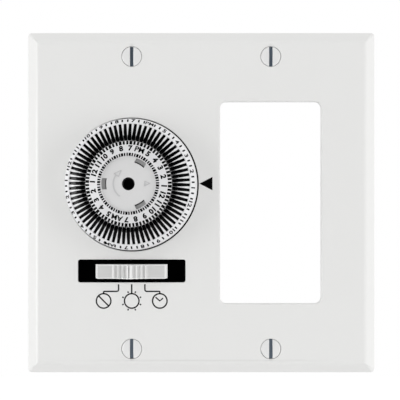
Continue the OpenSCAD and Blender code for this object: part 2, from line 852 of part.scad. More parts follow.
// Block that fills the switch window but for a gap along its edges
module in_window(gap, z)
    rounded_block(window_w - 2 * gap, window_h - 2 * gap, max(window_r - gap, lip_gap), z);

// Tray behind the plate, with a lip that lines the window
module switch_tray()
    color("black") upright() at_switch() difference() {
        union() {
            rounded_block(window_w + 2 * tray_rim, window_h + 2 * tray_rim, window_r, [0, tray_z]);
            in_window(lip_gap, [tray_z - eps, lip_z]);
        }
        in_window(lip_gap + lip_t, [tray_z, lip_z + over]);
        stem_slot([-over, tray_z + over]);
    }

// Height of grip rib k above the knob's flat ends and its place, counted outwards from the ridge
function rib_h(k) = ridge_h * (1 - k / (ribs + 1));
function rib_x(k) = ridge_w / 2 + rib_pitch * (k + rib_start);

// Outer half of the knob's profile: ridge, grip ribs with valleys between them, then the flat end
function rib(k) = [
    [rib_x(k) - rib_pitch / 2, rib_h(k + 1)],
    [rib_x(k) - rib_w / 2, rib_h(k)],
    [rib_x(k) + rib_w / 2, rib_h(k)]
];
function knob_half() = concat(
    [[ridge_w / 2, ridge_h]],
    [for (k = [1 : ribs], p = rib(k)) p],
    [[rib_x(ribs + 0.5), 0], [knob_l / 2 - end_lean, 0]]
);

module slide_knob() {
    half = knob_half();
    outline = concat(
        [[knob_l / 2, -knob_t]],
        [for (i = [len(half) - 1 : -1 : 0]) half[i]],
        [for (p = half) [-p[0], p[1]]],
        [[-knob_l / 2, -knob_t]]
    );
    color("white") upright() at_switch() {
        translate([0, knob_w / 2, knob_end_z]) rotate([90, 0, 0]) linear_extrude(knob_w) polygon(outline);
        block(
            [neck_in - knob_l / 2, knob_l / 2 - neck_in], [-neck_w / 2, neck_w / 2],
            [knob_z, knob_end_z - knob_t + eps]
        );
        block([-stem_l / 2, stem_l / 2], [-stem_w / 2, stem_w / 2], [carriage_under_z, knob_z + eps]);
    }
}

module slide_carriage()
    color("darkslategray") upright() at_switch() difference() {
        block(
            [-carriage_l / 2, carriage_l / 2], [-carriage_w / 2, carriage_w / 2],
            [carriage_under_z, carriage_z]
        );
        block(
            [-stem_l / 2 - push_fit, stem_l / 2 + push_fit],
            [-stem_w / 2 - push_fit, stem_w / 2 + push_fit], [carriage_under_z - over, carriage_z + over]
        );
        for (p = [-1, 0, 1]) translate([p * slide_step, -carriage_w / 2, carriage_under_z - over])
            linear_extrude(carriage_t + 2 * over)
                polygon([[-notch_w / 2, -eps], [notch_w / 2, -eps], [0, notch_d]]);
    }

// Leaf on the lower rail, with a crest that drops into the carriage's notches
module detent_spring() {
    low = -carriage_w / 2 - detent_room;
    tip = -carriage_w / 2 - stop_gap;
    crest = [[-notch_w, low + detent_t], [-notch_w / 2, low + detent_t], [0, tip - detent_t],
        [notch_w / 2, low + detent_t], [notch_w, low + detent_t]];
    under = concat([[-detent_l / 2, low]], crest, [[detent_l / 2, low]]);
    outline = concat(under, [for (i = [len(under) - 1 : -1 : 0]) under[i] + [0, detent_t]]);
    color("silver") upright() at_switch() translate([0, 0, carriage_under_z])
        linear_extrude(carriage_t) polygon(outline);
}

module slide_wiper() {
    dip = slide_step;
    half = dimple_w / 2;
    color("peru") upright() at_switch() translate([0, wiper_w / 2, carriage_under_z]) rotate([90, 0, 0])
        linear_extrude(wiper_w) polygon([
            [-wiper_l / 2, 0], [-wiper_l / 2, -wiper_t], [-dip - half, -wiper_t], [-dip, -wiper_dip],
            [half - dip, -wiper_t], [dip - half, -wiper_t], [dip, -wiper_dip], [dip + half, -wiper_t],
            [wiper_l / 2, -wiper_t], [wiper_l / 2, 0]
        ]);
}

// Board under the carriage, notched where a corner boss stands in its way
module contact_board()
    color("saddlebrown") upright() difference() {
        at_switch()
            block([-inner_w / 2, inner_w / 2], [-board_h / 2, board_h / 2], [board_z - board_t, board_z]);
        at_gang() at_bosses() bar(boss_d / 2 + slide_gap, [board_z - board_t - over, board_z + over]);
    }

// Pads of the three positions: on, common and timer
module switch_contacts()
    color("goldenrod") upright() at_switch()
        for (x = [
            [-slide_step - pad_l / 2, -slide_step + pad_l / 2], [-pad_l / 2, slide_step + pad_l / 2],
            [2 * slide_step - pad_l / 2, 2 * slide_step + pad_l / 2]
        ]) block(x, [-pad_w / 2, pad_w / 2], [board_z, pad_z]);

wall_plate();
plate_screws();
mounting_strap();
front_housing();
mechanism_plate();
rear_housing();
housing_screws();
dial_shield();
dial_hub();
dial_ring();
dial_carrier();
dial_spindle();
day_gear();
clutch_spring();
dial_retainer();
idler_gear();
idler_axle();
motor_pinion();
motor_can();
motor_coil();
follower_lever();
follower_pin();
contact_blade();
blade_anchor();
fixed_contact();
switch_tray();
slide_knob();
slide_carriage();
slide_wiper();
contact_board();
switch_contacts();
detent_spring();
terminal_plates();
terminal_screws();
ground_screw();
for (h = [0 : hours - 1])
    hour_trippers(h);
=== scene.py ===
"""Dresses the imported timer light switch: plate, dial, trippers, slide knob, prints and the device behind.

Shapes are worked out in the drawing frame in millimetres, x to the right, y up the wall and z out of the
wall, and go into the row frame in metres when a mesh is made.
"""
import logging
import math
from dataclasses import dataclass, replace
from enum import Enum
from typing import Any, Iterable, Mapping, Sequence

import bmesh
import bpy
import numpy as np
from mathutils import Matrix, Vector
from mathutils.geometry import tessellate_polygon


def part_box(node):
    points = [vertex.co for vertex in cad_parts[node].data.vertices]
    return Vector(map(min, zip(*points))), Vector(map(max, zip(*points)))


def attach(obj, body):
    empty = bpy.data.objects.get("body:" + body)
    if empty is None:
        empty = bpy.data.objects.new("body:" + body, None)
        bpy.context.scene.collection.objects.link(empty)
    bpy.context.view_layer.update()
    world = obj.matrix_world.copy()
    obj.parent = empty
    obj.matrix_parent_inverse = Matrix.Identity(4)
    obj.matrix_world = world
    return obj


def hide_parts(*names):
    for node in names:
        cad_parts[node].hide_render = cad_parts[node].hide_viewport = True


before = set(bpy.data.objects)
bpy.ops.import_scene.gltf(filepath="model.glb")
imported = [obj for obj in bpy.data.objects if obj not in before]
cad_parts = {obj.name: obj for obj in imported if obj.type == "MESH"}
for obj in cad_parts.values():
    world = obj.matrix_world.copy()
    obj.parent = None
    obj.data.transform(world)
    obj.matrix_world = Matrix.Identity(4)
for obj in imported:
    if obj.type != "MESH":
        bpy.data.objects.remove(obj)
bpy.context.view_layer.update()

Array = np.ndarray
Numbers = Array | float
Pair = tuple[float, float]
Triple = tuple[float, float, float]
Row = tuple[float, ...]
LOG = logging.getLogger("timer_switch")
MM = 0.001
MERGE = 2e-6
WHITE = (1.0, 1.0, 1.0, 1.0)
# Underside and top of a print, counted from the surface that carries it.
PRINT = np.array([-0.01, 0.02])


def to_row(points: Array) -> Array:
    """Turns drawing-frame millimetres into row-frame metres: X is x, Y is minus z and Z is y."""
    return np.stack([points[..., 0], -points[..., 2], points[..., 1]], axis=-1) * MM


def polar(radius: Numbers, angle: Numbers) -> Array:
    """Flat points at a radius and an angle in radians: the radius times the angle's cosine and sine."""
    return np.stack([radius * np.cos(angle), radius * np.sin(angle)], axis=-1)


def lift(flat: Array, z: Numbers) -> Array:
    """Gives flat points a height, one for all of them or one for each row of points."""
    height = np.broadcast_to(np.asarray(z, dtype=float)[..., None], flat.shape[:-1])
    return np.concatenate([flat, height[..., None]], axis=-1)


def eased(corners: Sequence[Pair], cuts: Sequence[float], steps: int = 4) -> Array:
    """Open profile with rounded inner corners: parabolas that start and end a cut away from the corner.

    Args:
        corners: Corner points of the profile.
        cuts: Distance from each inner corner to the ends of its parabola.
        steps: Spans in each parabola.

    Returns:
        Points of shape (n, 2).
    """
    points = np.asarray(corners, dtype=float)
    t = np.linspace(0.0, 1.0, steps + 1)[:, None]
    rows = [points[:1]]
    for before, here, after, cut in zip(points[:-2], points[1:-1], points[2:], cuts):
        start = here + (before - here) / np.linalg.norm(before - here) * cut
        end = here + (after - here) / np.linalg.norm(after - here) * cut
        rows.append((1 - t) ** 2 * start + 2 * t * (1 - t) * here + t ** 2 * end)
    return np.concatenate([*rows, points[-1:]])


def circle(radius: Numbers, steps: int = 96) -> Array:
    """Circles about the origin, one row for each radius, with points at evenly spaced angles."""
    return polar(np.atleast_1d(radius)[:, None], np.arange(steps) * 2 * np.pi / steps)


def rounded_rect(width: Numbers, height: Numbers, radius: Numbers, steps: int = 8) -> Array:
    """Rounded rectangles about the origin: a quarter circle in each corner, joined by straight sides.

    Args:
        width: Width of each row's rectangle.
        height: Height of each row's rectangle.
        radius: Corner radius of each row's rectangle.
        steps: Points in each quarter circle.

    Returns:
        Points of shape (rows, 4 * steps, 2).
    """
    sizes = (np.atleast_1d(value).astype(float) for value in (width, height, radius))
    width, height, radius = np.broadcast_arrays(*sizes)
    angle = (np.linspace(0, np.pi / 2, steps)[None, :] + np.arange(4)[:, None] * np.pi / 2).ravel()
    right = np.repeat([1, -1, -1, 1], steps)
    up = np.repeat([1, 1, -1, -1], steps)
    x = right * (width / 2 - radius)[:, None] + radius[:, None] * np.cos(angle)
    y = up * (height / 2 - radius)[:, None] + radius[:, None] * np.sin(angle)
    return np.stack([x, y], axis=-1)


def turned(local: Array, bearing: float, centre: Array) -> Array:
    """Turns points given as radius, sideways distance and height round a centre, by degrees from x."""
    spun = (local[..., 0] + 1j * local[..., 1]) * np.exp(1j * math.radians(bearing)) + complex(*centre)
    return np.stack([spun.real, spun.imag, local[..., 2]], axis=-1)


def lathe(profile: Array, centre: Array | Pair, steps: int = 128) -> Array:
    """Carries a profile of radius and height round an upright axis, one circle of points for each row."""
    return lift(circle(profile[:, 0], steps) + centre, profile[:, 1])


def drawn_box(node: str) -> tuple[Array, Array]:
    """Lowest and highest corner of a CAD node at rest, in the drawing frame."""
    corners = np.array([list(corner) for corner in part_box(node)])[:, [0, 2, 1]] * [1, 1, -1] / MM
    return corners.min(axis=0), corners.max(axis=0)


def feed(tree: bpy.types.NodeTree, node: bpy.types.Node, inputs: Mapping[str | int, Any]) -> None:
    """Links a node's inputs from sockets, or sets them to values.

    Args:
        tree: Node tree that holds the node.
        node: The node.
        inputs: A socket or a value for each input's name or number.
    """
    for key, value in inputs.items():
        if isinstance(value, bpy.types.NodeSocket):
            tree.links.new(value, node.inputs[key])
        else:
            node.inputs[key].default_value = value


def add_node(tree: bpy.types.NodeTree, kind: str, inputs: Mapping[str | int, Any],
             operation: str = "") -> bpy.types.NodeOutputs:
    """Adds a shader node and feeds its inputs.

    Args:
        tree: Node tree to add to.
        kind: Kind of shader node.
        inputs: A socket or a value for each input's name or number.
        operation: Operation of a node that has one.

    Returns:
        The node's outputs.
    """
    node = tree.nodes.new("ShaderNode" + kind)
    if operation:
        node.operation = operation
    feed(tree, node, inputs)
    return node.outputs


class Pattern(Enum):
    """Kinds of surface detail that the finishes share."""

    MOULDED = "moulded_grain"
    BRUSHED = "brushed_grain"
    SPANGLE = "zinc_spangle"


class GrainGroups:
    """Shader node groups that give each pattern's tone, roughness and height over the surface."""

    SOCKETS = {"INPUT": ("Vector", "Scale", "Depth"), "OUTPUT": ("Tone", "Grain", "Height")}
    EVEN = (1.0, 1.0, 1.0)
    STRETCH = {Pattern.MOULDED: EVEN, Pattern.BRUSHED: (1.0, 1.0, 0.06), Pattern.SPANGLE: EVEN}
    BROAD = {"Scale": 45.0, "Detail": 2.0}
    FINE = {"Detail": 4.0}

    @classmethod
    def get(cls, pattern: Pattern) -> bpy.types.NodeTree:
        """Returns the pattern's node group, made at its first use."""
        return bpy.data.node_groups.get(pattern.value) or cls.make(pattern)

    @classmethod
    def make(cls, pattern: Pattern) -> bpy.types.NodeTree:
        """Builds a group: fine noise or cells and a broad noise, mixed into a tone near one.

        Args:
            pattern: The pattern that the group is for.

        Returns:
            The new node group.
        """
        tree = bpy.data.node_groups.new(pattern.value, "ShaderNodeTree")
        for way, names in cls.SOCKETS.items():
            for name in names:
                kind = "NodeSocketVector" if name == "Vector" else "NodeSocketFloat"
                tree.interface.new_socket(name=name, in_out=way, socket_type=kind)
        entry = tree.nodes.new("NodeGroupInput").outputs
        turn = add_node(tree, "Mapping", {"Vector": entry["Vector"], "Scale": cls.STRETCH[pattern]})
        broad = add_node(tree, "TexNoise", {"Vector": entry["Vector"], **cls.BROAD})["Fac"]
        fine = {"Vector": turn["Vector"], "Scale": entry["Scale"]}
        if pattern is Pattern.SPANGLE:
            cells = add_node(tree, "TexVoronoi", fine)["Color"]
            value = add_node(tree, "SeparateColor", {"Color": cells})["Red"]
        else:
            value = add_node(tree, "TexNoise", {**fine, **cls.FINE})["Fac"]
        both = add_node(tree, "Math", {0: value, 1: broad}, "ADD")[0]
        level = add_node(tree, "Math", {0: both, 1: 1.0}, "SUBTRACT")[0]
        tone = add_node(tree, "Math", {0: level, 1: entry["Depth"], 2: 1.0}, "MULTIPLY_ADD")[0]
        feed(tree, tree.nodes.new("NodeGroupOutput"), {"Tone": tone, "Grain": level, "Height": value})
        return tree


@dataclass(frozen=True)
class Finish:
    """A procedural surface finish."""

    name: str
    colour: Triple
    roughness: float
    pattern: Pattern = Pattern.MOULDED
    metallic: float = 0.0
    specular: float = 0.5
    scale: float = 900.0
    depth: float = 0.02
    relief: float = 0.004
    grit: float = 0.12

    def material(self) -> bpy.types.Material:
        """Returns the finish's material, made at its first use."""
        return bpy.data.materials.get(self.name) or self.make()

    def make(self) -> bpy.types.Material:
        """Builds the material: the colour times the pattern's tone, with its grain in roughness and bump.

        Returns:
            The new material.
        """
        material = bpy.data.materials.new(self.name)
        material.use_nodes = True
        material.diffuse_color = (*self.colour, 1.0)
        tree = material.node_tree
        grain = tree.nodes.new("ShaderNodeGroup")
        grain.node_tree = GrainGroups.get(self.pattern)
        place = add_node(tree, "TexCoord", {})["Object"]
        feed(tree, grain, {"Vector": place, "Scale": self.scale, "Depth": self.depth})
        tone, coarse, height = (grain.outputs[name] for name in GrainGroups.SOCKETS["OUTPUT"])
        shade = add_node(tree, "VectorMath", {0: self.colour, "Scale": tone}, "SCALE")["Vector"]
        rough = {0: coarse, 1: self.grit * self.roughness, 2: self.roughness}
        bump = add_node(tree, "Bump", {"Distance": self.relief * MM, "Height": height})["Normal"]
        feed(tree, tree.nodes["Principled BSDF"], {
            "Base Color": shade, "Roughness": add_node(tree, "Math", rough, "MULTIPLY_ADD")[0],
            "Normal": bump, "Metallic": self.metallic, "Specular IOR Level": self.specular})
        return material


PLATE_WHITE = Finish("plate_white_moulded", (0.79, 0.79, 0.78), 0.36, depth=0.012, specular=0.22)
SCREW_PAINT = Finish("screw_white_paint", (0.78, 0.78, 0.775), 0.3, scale=2500.0, depth=0.015)
SLOT_STEEL = Finish("screw_slot_steel", (0.2, 0.245, 0.3), 0.42, Pattern.BRUSHED, 0.3, scale=2600.0,
                    depth=0.7, relief=0.02)
DIAL_WHITE = Finish("dial_white_moulded", (0.79, 0.79, 0.80), 0.36, depth=0.012, specular=0.3)
HUB_WHITE = Finish("hub_white_moulded", (0.70, 0.70, 0.71), 0.36, depth=0.012, specular=0.3)
DISC_WHITE = Finish("disc_satin_moulded", (0.67, 0.67, 0.67), 0.55, scale=2200.0, depth=0.02, relief=0.008)
# Darker grey on the raised marks: painted shade standing in for the shadow along the relief of the arrow and
# triangle.
DISC_MARK_SHADE = Finish("disc_mark_painted_shade", (0.55, 0.55, 0.555), 0.6, scale=2200.0, depth=0.03)
# Darker copy of the knob's plastic for all but the highlighted faces: its tone is partly the knob's greyer
# plastic and partly painted shade on the flats.
KNOB_SHADED_GREY = Finish("knob_grey_with_painted_shade", (0.61, 0.61, 0.605), 0.5, scale=2000.0, depth=0.02, relief=0.006)
# Lighter copy of the knob's plastic: painted highlight where the side lamps catch the knob's ends, long
# edges and crests.
KNOB_PAINTED_HIGHLIGHT = Finish("knob_painted_highlight", (0.9, 0.9, 0.895), 0.35, scale=2000.0, depth=0.015)
TRIPPER_BLACK = Finish("tripper_gloss_black", (0.0006, 0.0006, 0.0008), 0.22, specular=0.04, depth=0.2)
TRAY_BLACK = Finish("tray_matt_black", (0.0006, 0.0006, 0.0007), 0.7, specular=0.0, depth=0.2)
HOUSING_BLACK = Finish("housing_thermoset_black", (0.022, 0.022, 0.024), 0.55, scale=1500.0, depth=0.25,
                       relief=0.012)
STRAP_ZINC = Finish("strap_zinc_plate", (0.56, 0.56, 0.55), 0.38, Pattern.SPANGLE, 1.0, scale=420.0,
                    depth=0.16)
SCREW_ZINC = Finish("screw_zinc_plate", (0.5, 0.5, 0.49), 0.34, Pattern.BRUSHED, 1.0, scale=1500.0,
                    depth=0.2)
SHAFT_STEEL = Finish("shaft_black_steel", (0.02, 0.02, 0.022), 0.4, Pattern.BRUSHED, 0.6, scale=2000.0,
                     depth=0.3)
BRASS = Finish("terminal_brass", (0.66, 0.46, 0.19), 0.32, Pattern.BRUSHED, 1.0, scale=1300.0, depth=0.18)
BRONZE = Finish("spring_bronze", (0.55, 0.32, 0.16), 0.34, Pattern.BRUSHED, 1.0, scale=1300.0, depth=0.18)
NYLON = Finish("gear_natural_nylon", (0.70, 0.66, 0.55), 0.5, depth=0.05)
MOTOR_ZINC = Finish("motor_zinc_plate", (0.52, 0.52, 0.51), 0.4, Pattern.SPANGLE, 1.0, scale=380.0,
                    depth=0.18)
COIL_COPPER = Finish("coil_enamelled_copper", (0.42, 0.13, 0.06), 0.35, Pattern.BRUSHED, 0.8, scale=2400.0,
                     depth=0.3)
BOARD_BROWN = Finish("board_phenolic", (0.16, 0.065, 0.028), 0.5, scale=1700.0, depth=0.3)
GROUND_GREEN = Finish("ground_green_dye", (0.015, 0.22, 0.06), 0.34, Pattern.BRUSHED, 0.7, scale=1500.0,
                      depth=0.2)
INK_BLACK = Finish("print_black_ink", (0.001, 0.001, 0.0012), 0.6, specular=0.03, scale=3000.0, depth=0.15)
INK_GREY = Finish("print_grey_ink", (0.008, 0.008, 0.009), 0.6, specular=0.1, scale=3000.0, depth=0.15)


@dataclass(frozen=True)
class CarrierFinish(Finish):
    """Moulding darkened inside a radius about an upright axis: painted shade along the snap windows' inner
    edges.
    """

    axis: Pair = (0.0, 0.0)
    # Radius inside which the grey is darkened: painted shade on the inner edges of the snap windows.
    core: float = 7.4
    fade: float = 0.2

    def make(self) -> bpy.types.Material:
        """Builds the plain material, then paints shade on it inside the shade radius from the axis.

        Returns:
            The new material.
        """
        material = super().make()
        tree = material.node_tree
        centred = add_node(tree, "Mapping", {
            "Vector": add_node(tree, "TexCoord", {})["Object"], "Scale": (1.0, 0.0, 1.0),
            "Location": (-self.axis[0] * MM, 0.0, -self.axis[1] * MM)})["Vector"]
        reach = add_node(tree, "VectorMath", {0: centred}, "LENGTH")["Value"]
        span = {"Value": reach, "From Min": (self.core - self.fade) * MM, "From Max": self.core * MM}
        mask = add_node(tree, "MapRange", span)["Result"]
        colour = tree.nodes["Principled BSDF"].inputs["Base Color"]
        shaded = {0: colour.links[0].from_socket, "Scale": mask}
        tree.links.new(add_node(tree, "VectorMath", shaded, "SCALE")["Vector"], colour)
        return material


# Grey carrier with painted shade on the inner edges of the snap windows.
CARRIER_GREY_SHADED = CarrierFinish("carrier_grey_painted_shade", (0.38, 0.38, 0.38), 0.5, depth=0.04)


class Shell:
    """Surface gathered from patches in the drawing frame and joined into one mesh."""

    def __init__(self, name: str) -> None:
        """Starts an empty surface.

        Args:
            name: Name of the finished piece.
        """
        self.name = name
        self.points: list[Array] = []
        self.faces: list[Array] = []
        self.tints: list[Array] = []
        self.count = 0

    def add(self, points: Array, faces: Array, tint: Array | int = 0) -> None:
        """Adds points and the faces between them.

        Args:
            points: Points of shape (n, 3).
            faces: Corner numbers of shape (m, k), counted from this patch's first point.
            tint: Number of the finish that the faces take, one for all or one for each.
        """
        self.points.append(points.reshape(-1, 3))
        self.faces.append(faces + self.count)
        self.tints.append(np.broadcast_to(np.ravel(tint), len(faces)))
        self.count += len(self.points[-1])

    def grid(self, rows: Array, around: bool = True, tint: Array | int = 0) -> None:
        """Adds the surface through rows of points.

        Args:
            rows: Points of shape (rows, columns, 3).
            around: Whether each row closes on itself.
            tint: Number of the finish that the faces take, one for all or one for each.
        """
        index = np.arange(rows.shape[0] * rows.shape[1]).reshape(rows.shape[:2])
        if around:
            index = np.concatenate([index, index[:, :1]], axis=1)
        quads = np.stack([index[:-1, :-1], index[:-1, 1:], index[1:, 1:], index[1:, :-1]], axis=-1)
        self.add(rows, quads.reshape(-1, 4), tint)

    def loft(self, rows: Array, tint: int = 0) -> None:
        """Adds a closed bar through sections, with a flat face at each end."""
        self.grid(rows, True, tint)
        self.add(rows[[0, -1]], np.arange(2 * rows.shape[1]).reshape(2, -1), tint)

    def slab(self, flat: Array, z: Sequence[float]) -> None:
        """Adds a flat outline as a slab between two heights."""
        self.loft(lift(np.stack([flat, flat]), z))

    def fill(self, loops: Sequence[Array], tint: int = 0) -> None:
        """Adds a flat face with holes: its outline and the holes' outlines, all at one height."""
        flat = [(loop * [1, 1, 0]).tolist() for loop in loops]
        self.add(np.concatenate(loops), np.array(tessellate_polygon(flat)), tint)

    def stroke(self, path: Array, width: float, z: Array, closed: bool = False, tint: int = 0) -> None:
        """Adds a flat line along a path: the path moved half a width to each side, at two heights.

        Args:
            path: Points of shape (n, 2).
            width: Width of the line.
            z: Heights of its underside and top.
            closed: Whether the path closes on itself.
            tint: Number of the finish that the line takes.
        """
        ahead = np.roll(path, -1, axis=0) - np.roll(path, 1, axis=0) if closed else np.gradient(path, axis=0)
        side = np.stack([-ahead[:, 1], ahead[:, 0]], axis=1)
        side *= width / 2 / np.linalg.norm(side, axis=1, keepdims=True)
        left, right = path + side, path - side
        rows = lift(np.stack([left, right, right, left]), np.repeat(z, 2)).swapaxes(0, 1)
        if closed:
            self.grid(np.concatenate([rows, rows[:1]]), True, tint)
        else:
            self.loft(rows, tint)

    def mesh(self) -> bpy.types.Mesh:
        """Joins the patches, merges their points and turns the faces outwards.

        Returns:
            The mesh, in the row frame.
        """
        mesh = bpy.data.meshes.new(self.name)
        faces = [face for patch in self.faces for face in patch.tolist()]
        mesh.from_pydata(to_row(np.concatenate(self.points)).tolist(), [], faces)
        mesh.polygons.foreach_set("material_index", np.concatenate(self.tints).astype(np.int32))
        work = bmesh.new()
        work.from_mesh(mesh)
        bmesh.ops.remove_doubles(work, verts=work.verts, dist=MERGE)
        bmesh.ops.dissolve_degenerate(work, edges=work.edges, dist=MERGE)
        bmesh.ops.recalc_face_normals(work, faces=work.faces)
        work.to_mesh(mesh)
        work.free()
        return mesh


def finish_piece(mesh: bpy.types.Mesh, body: str, finishes: Sequence[Finish],
                 replaces: Iterable[str] = (), sharp: float = 38.0) -> bpy.types.Object:
    """Makes a piece with its mesh's name: shading, finishes, body and the nodes that it stands for.

    Args:
        mesh: Mesh in the row frame.
        body: The CAD body that the piece rides on.
        finishes: Finishes for the mesh's material numbers.
        replaces: CAD nodes that the piece stands for.
        sharp: Angle in degrees past which an edge stays sharp.

    Returns:
        The finished object.
    """
    mesh.shade_smooth()
    mesh.set_sharp_from_angle(angle=math.radians(sharp))
    for finish in finishes:
        mesh.materials.append(finish.material())
    piece = bpy.data.objects.new(mesh.name, mesh)
    bpy.context.scene.collection.objects.link(piece)
    even = piece.modifiers.new("even_shading", "WEIGHTED_NORMAL")
    even.keep_sharp = True
    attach(piece, body)
    if replaces:
        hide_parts(*replaces)
    LOG.info("%s on %s: %d faces", piece.name, body, len(mesh.polygons))
    return piece


def lettering(text: str, weight: float) -> tuple[Array, Array]:
    """A line of plain lettering as a slab.

    Args:
        text: The letters or digits.
        weight: How far each outline is thickened, as a share of the text size.

    Returns:
        Points centred on the line, one unit tall and from 0 to 1 in z, and the triangles between them.
    """
    curve = bpy.data.curves.new("lettering", "FONT")
    curve.body = text
    curve.resolution_u = 3
    curve.offset = weight
    curve.extrude = 0.5
    holder = bpy.data.objects.new("lettering", curve)
    bpy.context.scene.collection.objects.link(holder)
    mesh = bpy.data.meshes.new_from_object(holder.evaluated_get(bpy.context.evaluated_depsgraph_get()))
    mesh.calc_loop_triangles()
    points = np.empty(len(mesh.vertices) * 3)
    mesh.vertices.foreach_get("co", points)
    faces = np.empty(len(mesh.loop_triangles) * 3, dtype=np.int32)
    mesh.loop_triangles.foreach_get("vertices", faces)
    bpy.data.objects.remove(holder)
    bpy.data.curves.remove(curve)
    bpy.data.meshes.remove(mesh)
    points = points.reshape(-1, 3)
    low, high = points.min(axis=0), points.max(axis=0)
    middle = (low + high) / 2 * [1, 1, 0] - [0, 0, 0.5]
    return (points - middle) / [high[1] - low[1], high[1] - low[1], 1.0], faces.reshape(-1, 3)


@dataclass(frozen=True)
class ConeBand:
    """Sloping round band that carries a print, given by radius and height at its two edges."""

    centre: Array
    inner: Pair
    outer: Pair

    def lay(self, local: Array, bearing: Numbers) -> Array:
        """Lays points on the band: across its width outwards, along it clockwise, and up from it.

        Args:
            local: Points with distance clockwise, distance out from the inner edge and height over the band.
            bearing: Angle in degrees from x against the clock, broadcast against the points.

        Returns:
            Points in the drawing frame.
        """
        run, drop = np.subtract(self.outer, self.inner) / self.width
        radius = self.inner[0] + local[..., 1] * run - local[..., 2] * drop
        z = self.inner[1] + local[..., 1] * drop + local[..., 2] * run
        flat = polar(radius, np.radians(bearing) - local[..., 0] / radius) + self.centre
        return np.concatenate([flat, z[..., None]], axis=-1)

    @property
    def width(self) -> float:
        """Width of the band along its slope."""
        return float(np.hypot(*np.subtract(self.outer, self.inner)))


@dataclass(frozen=True)
class Outline:
    """Rounded rectangle, or a circle where its corners meet, that a profile is carried round."""

    centre: Pair
    width: float
    height: float
    radius: float
    spread: float = 1.0
    least: float = 0.0

    def rows(self, profile: Array) -> Array:
        """Carries a profile round the outline, with corners that spread by a share of its growth.

        Args:
            profile: Points of shape (n, 2): how far the outline grows, and z.

        Returns:
            Points of shape (n, columns, 3).
        """
        grow = profile[:, 0]
        radius = np.maximum(self.radius + self.spread * grow, self.least)
        if 2 * self.radius >= self.width:
            loop = circle(radius)
        else:
            loop = rounded_rect(self.width + 2 * grow, self.height + 2 * grow, radius)
        return lift(loop + np.array(self.centre), profile[:, 1])


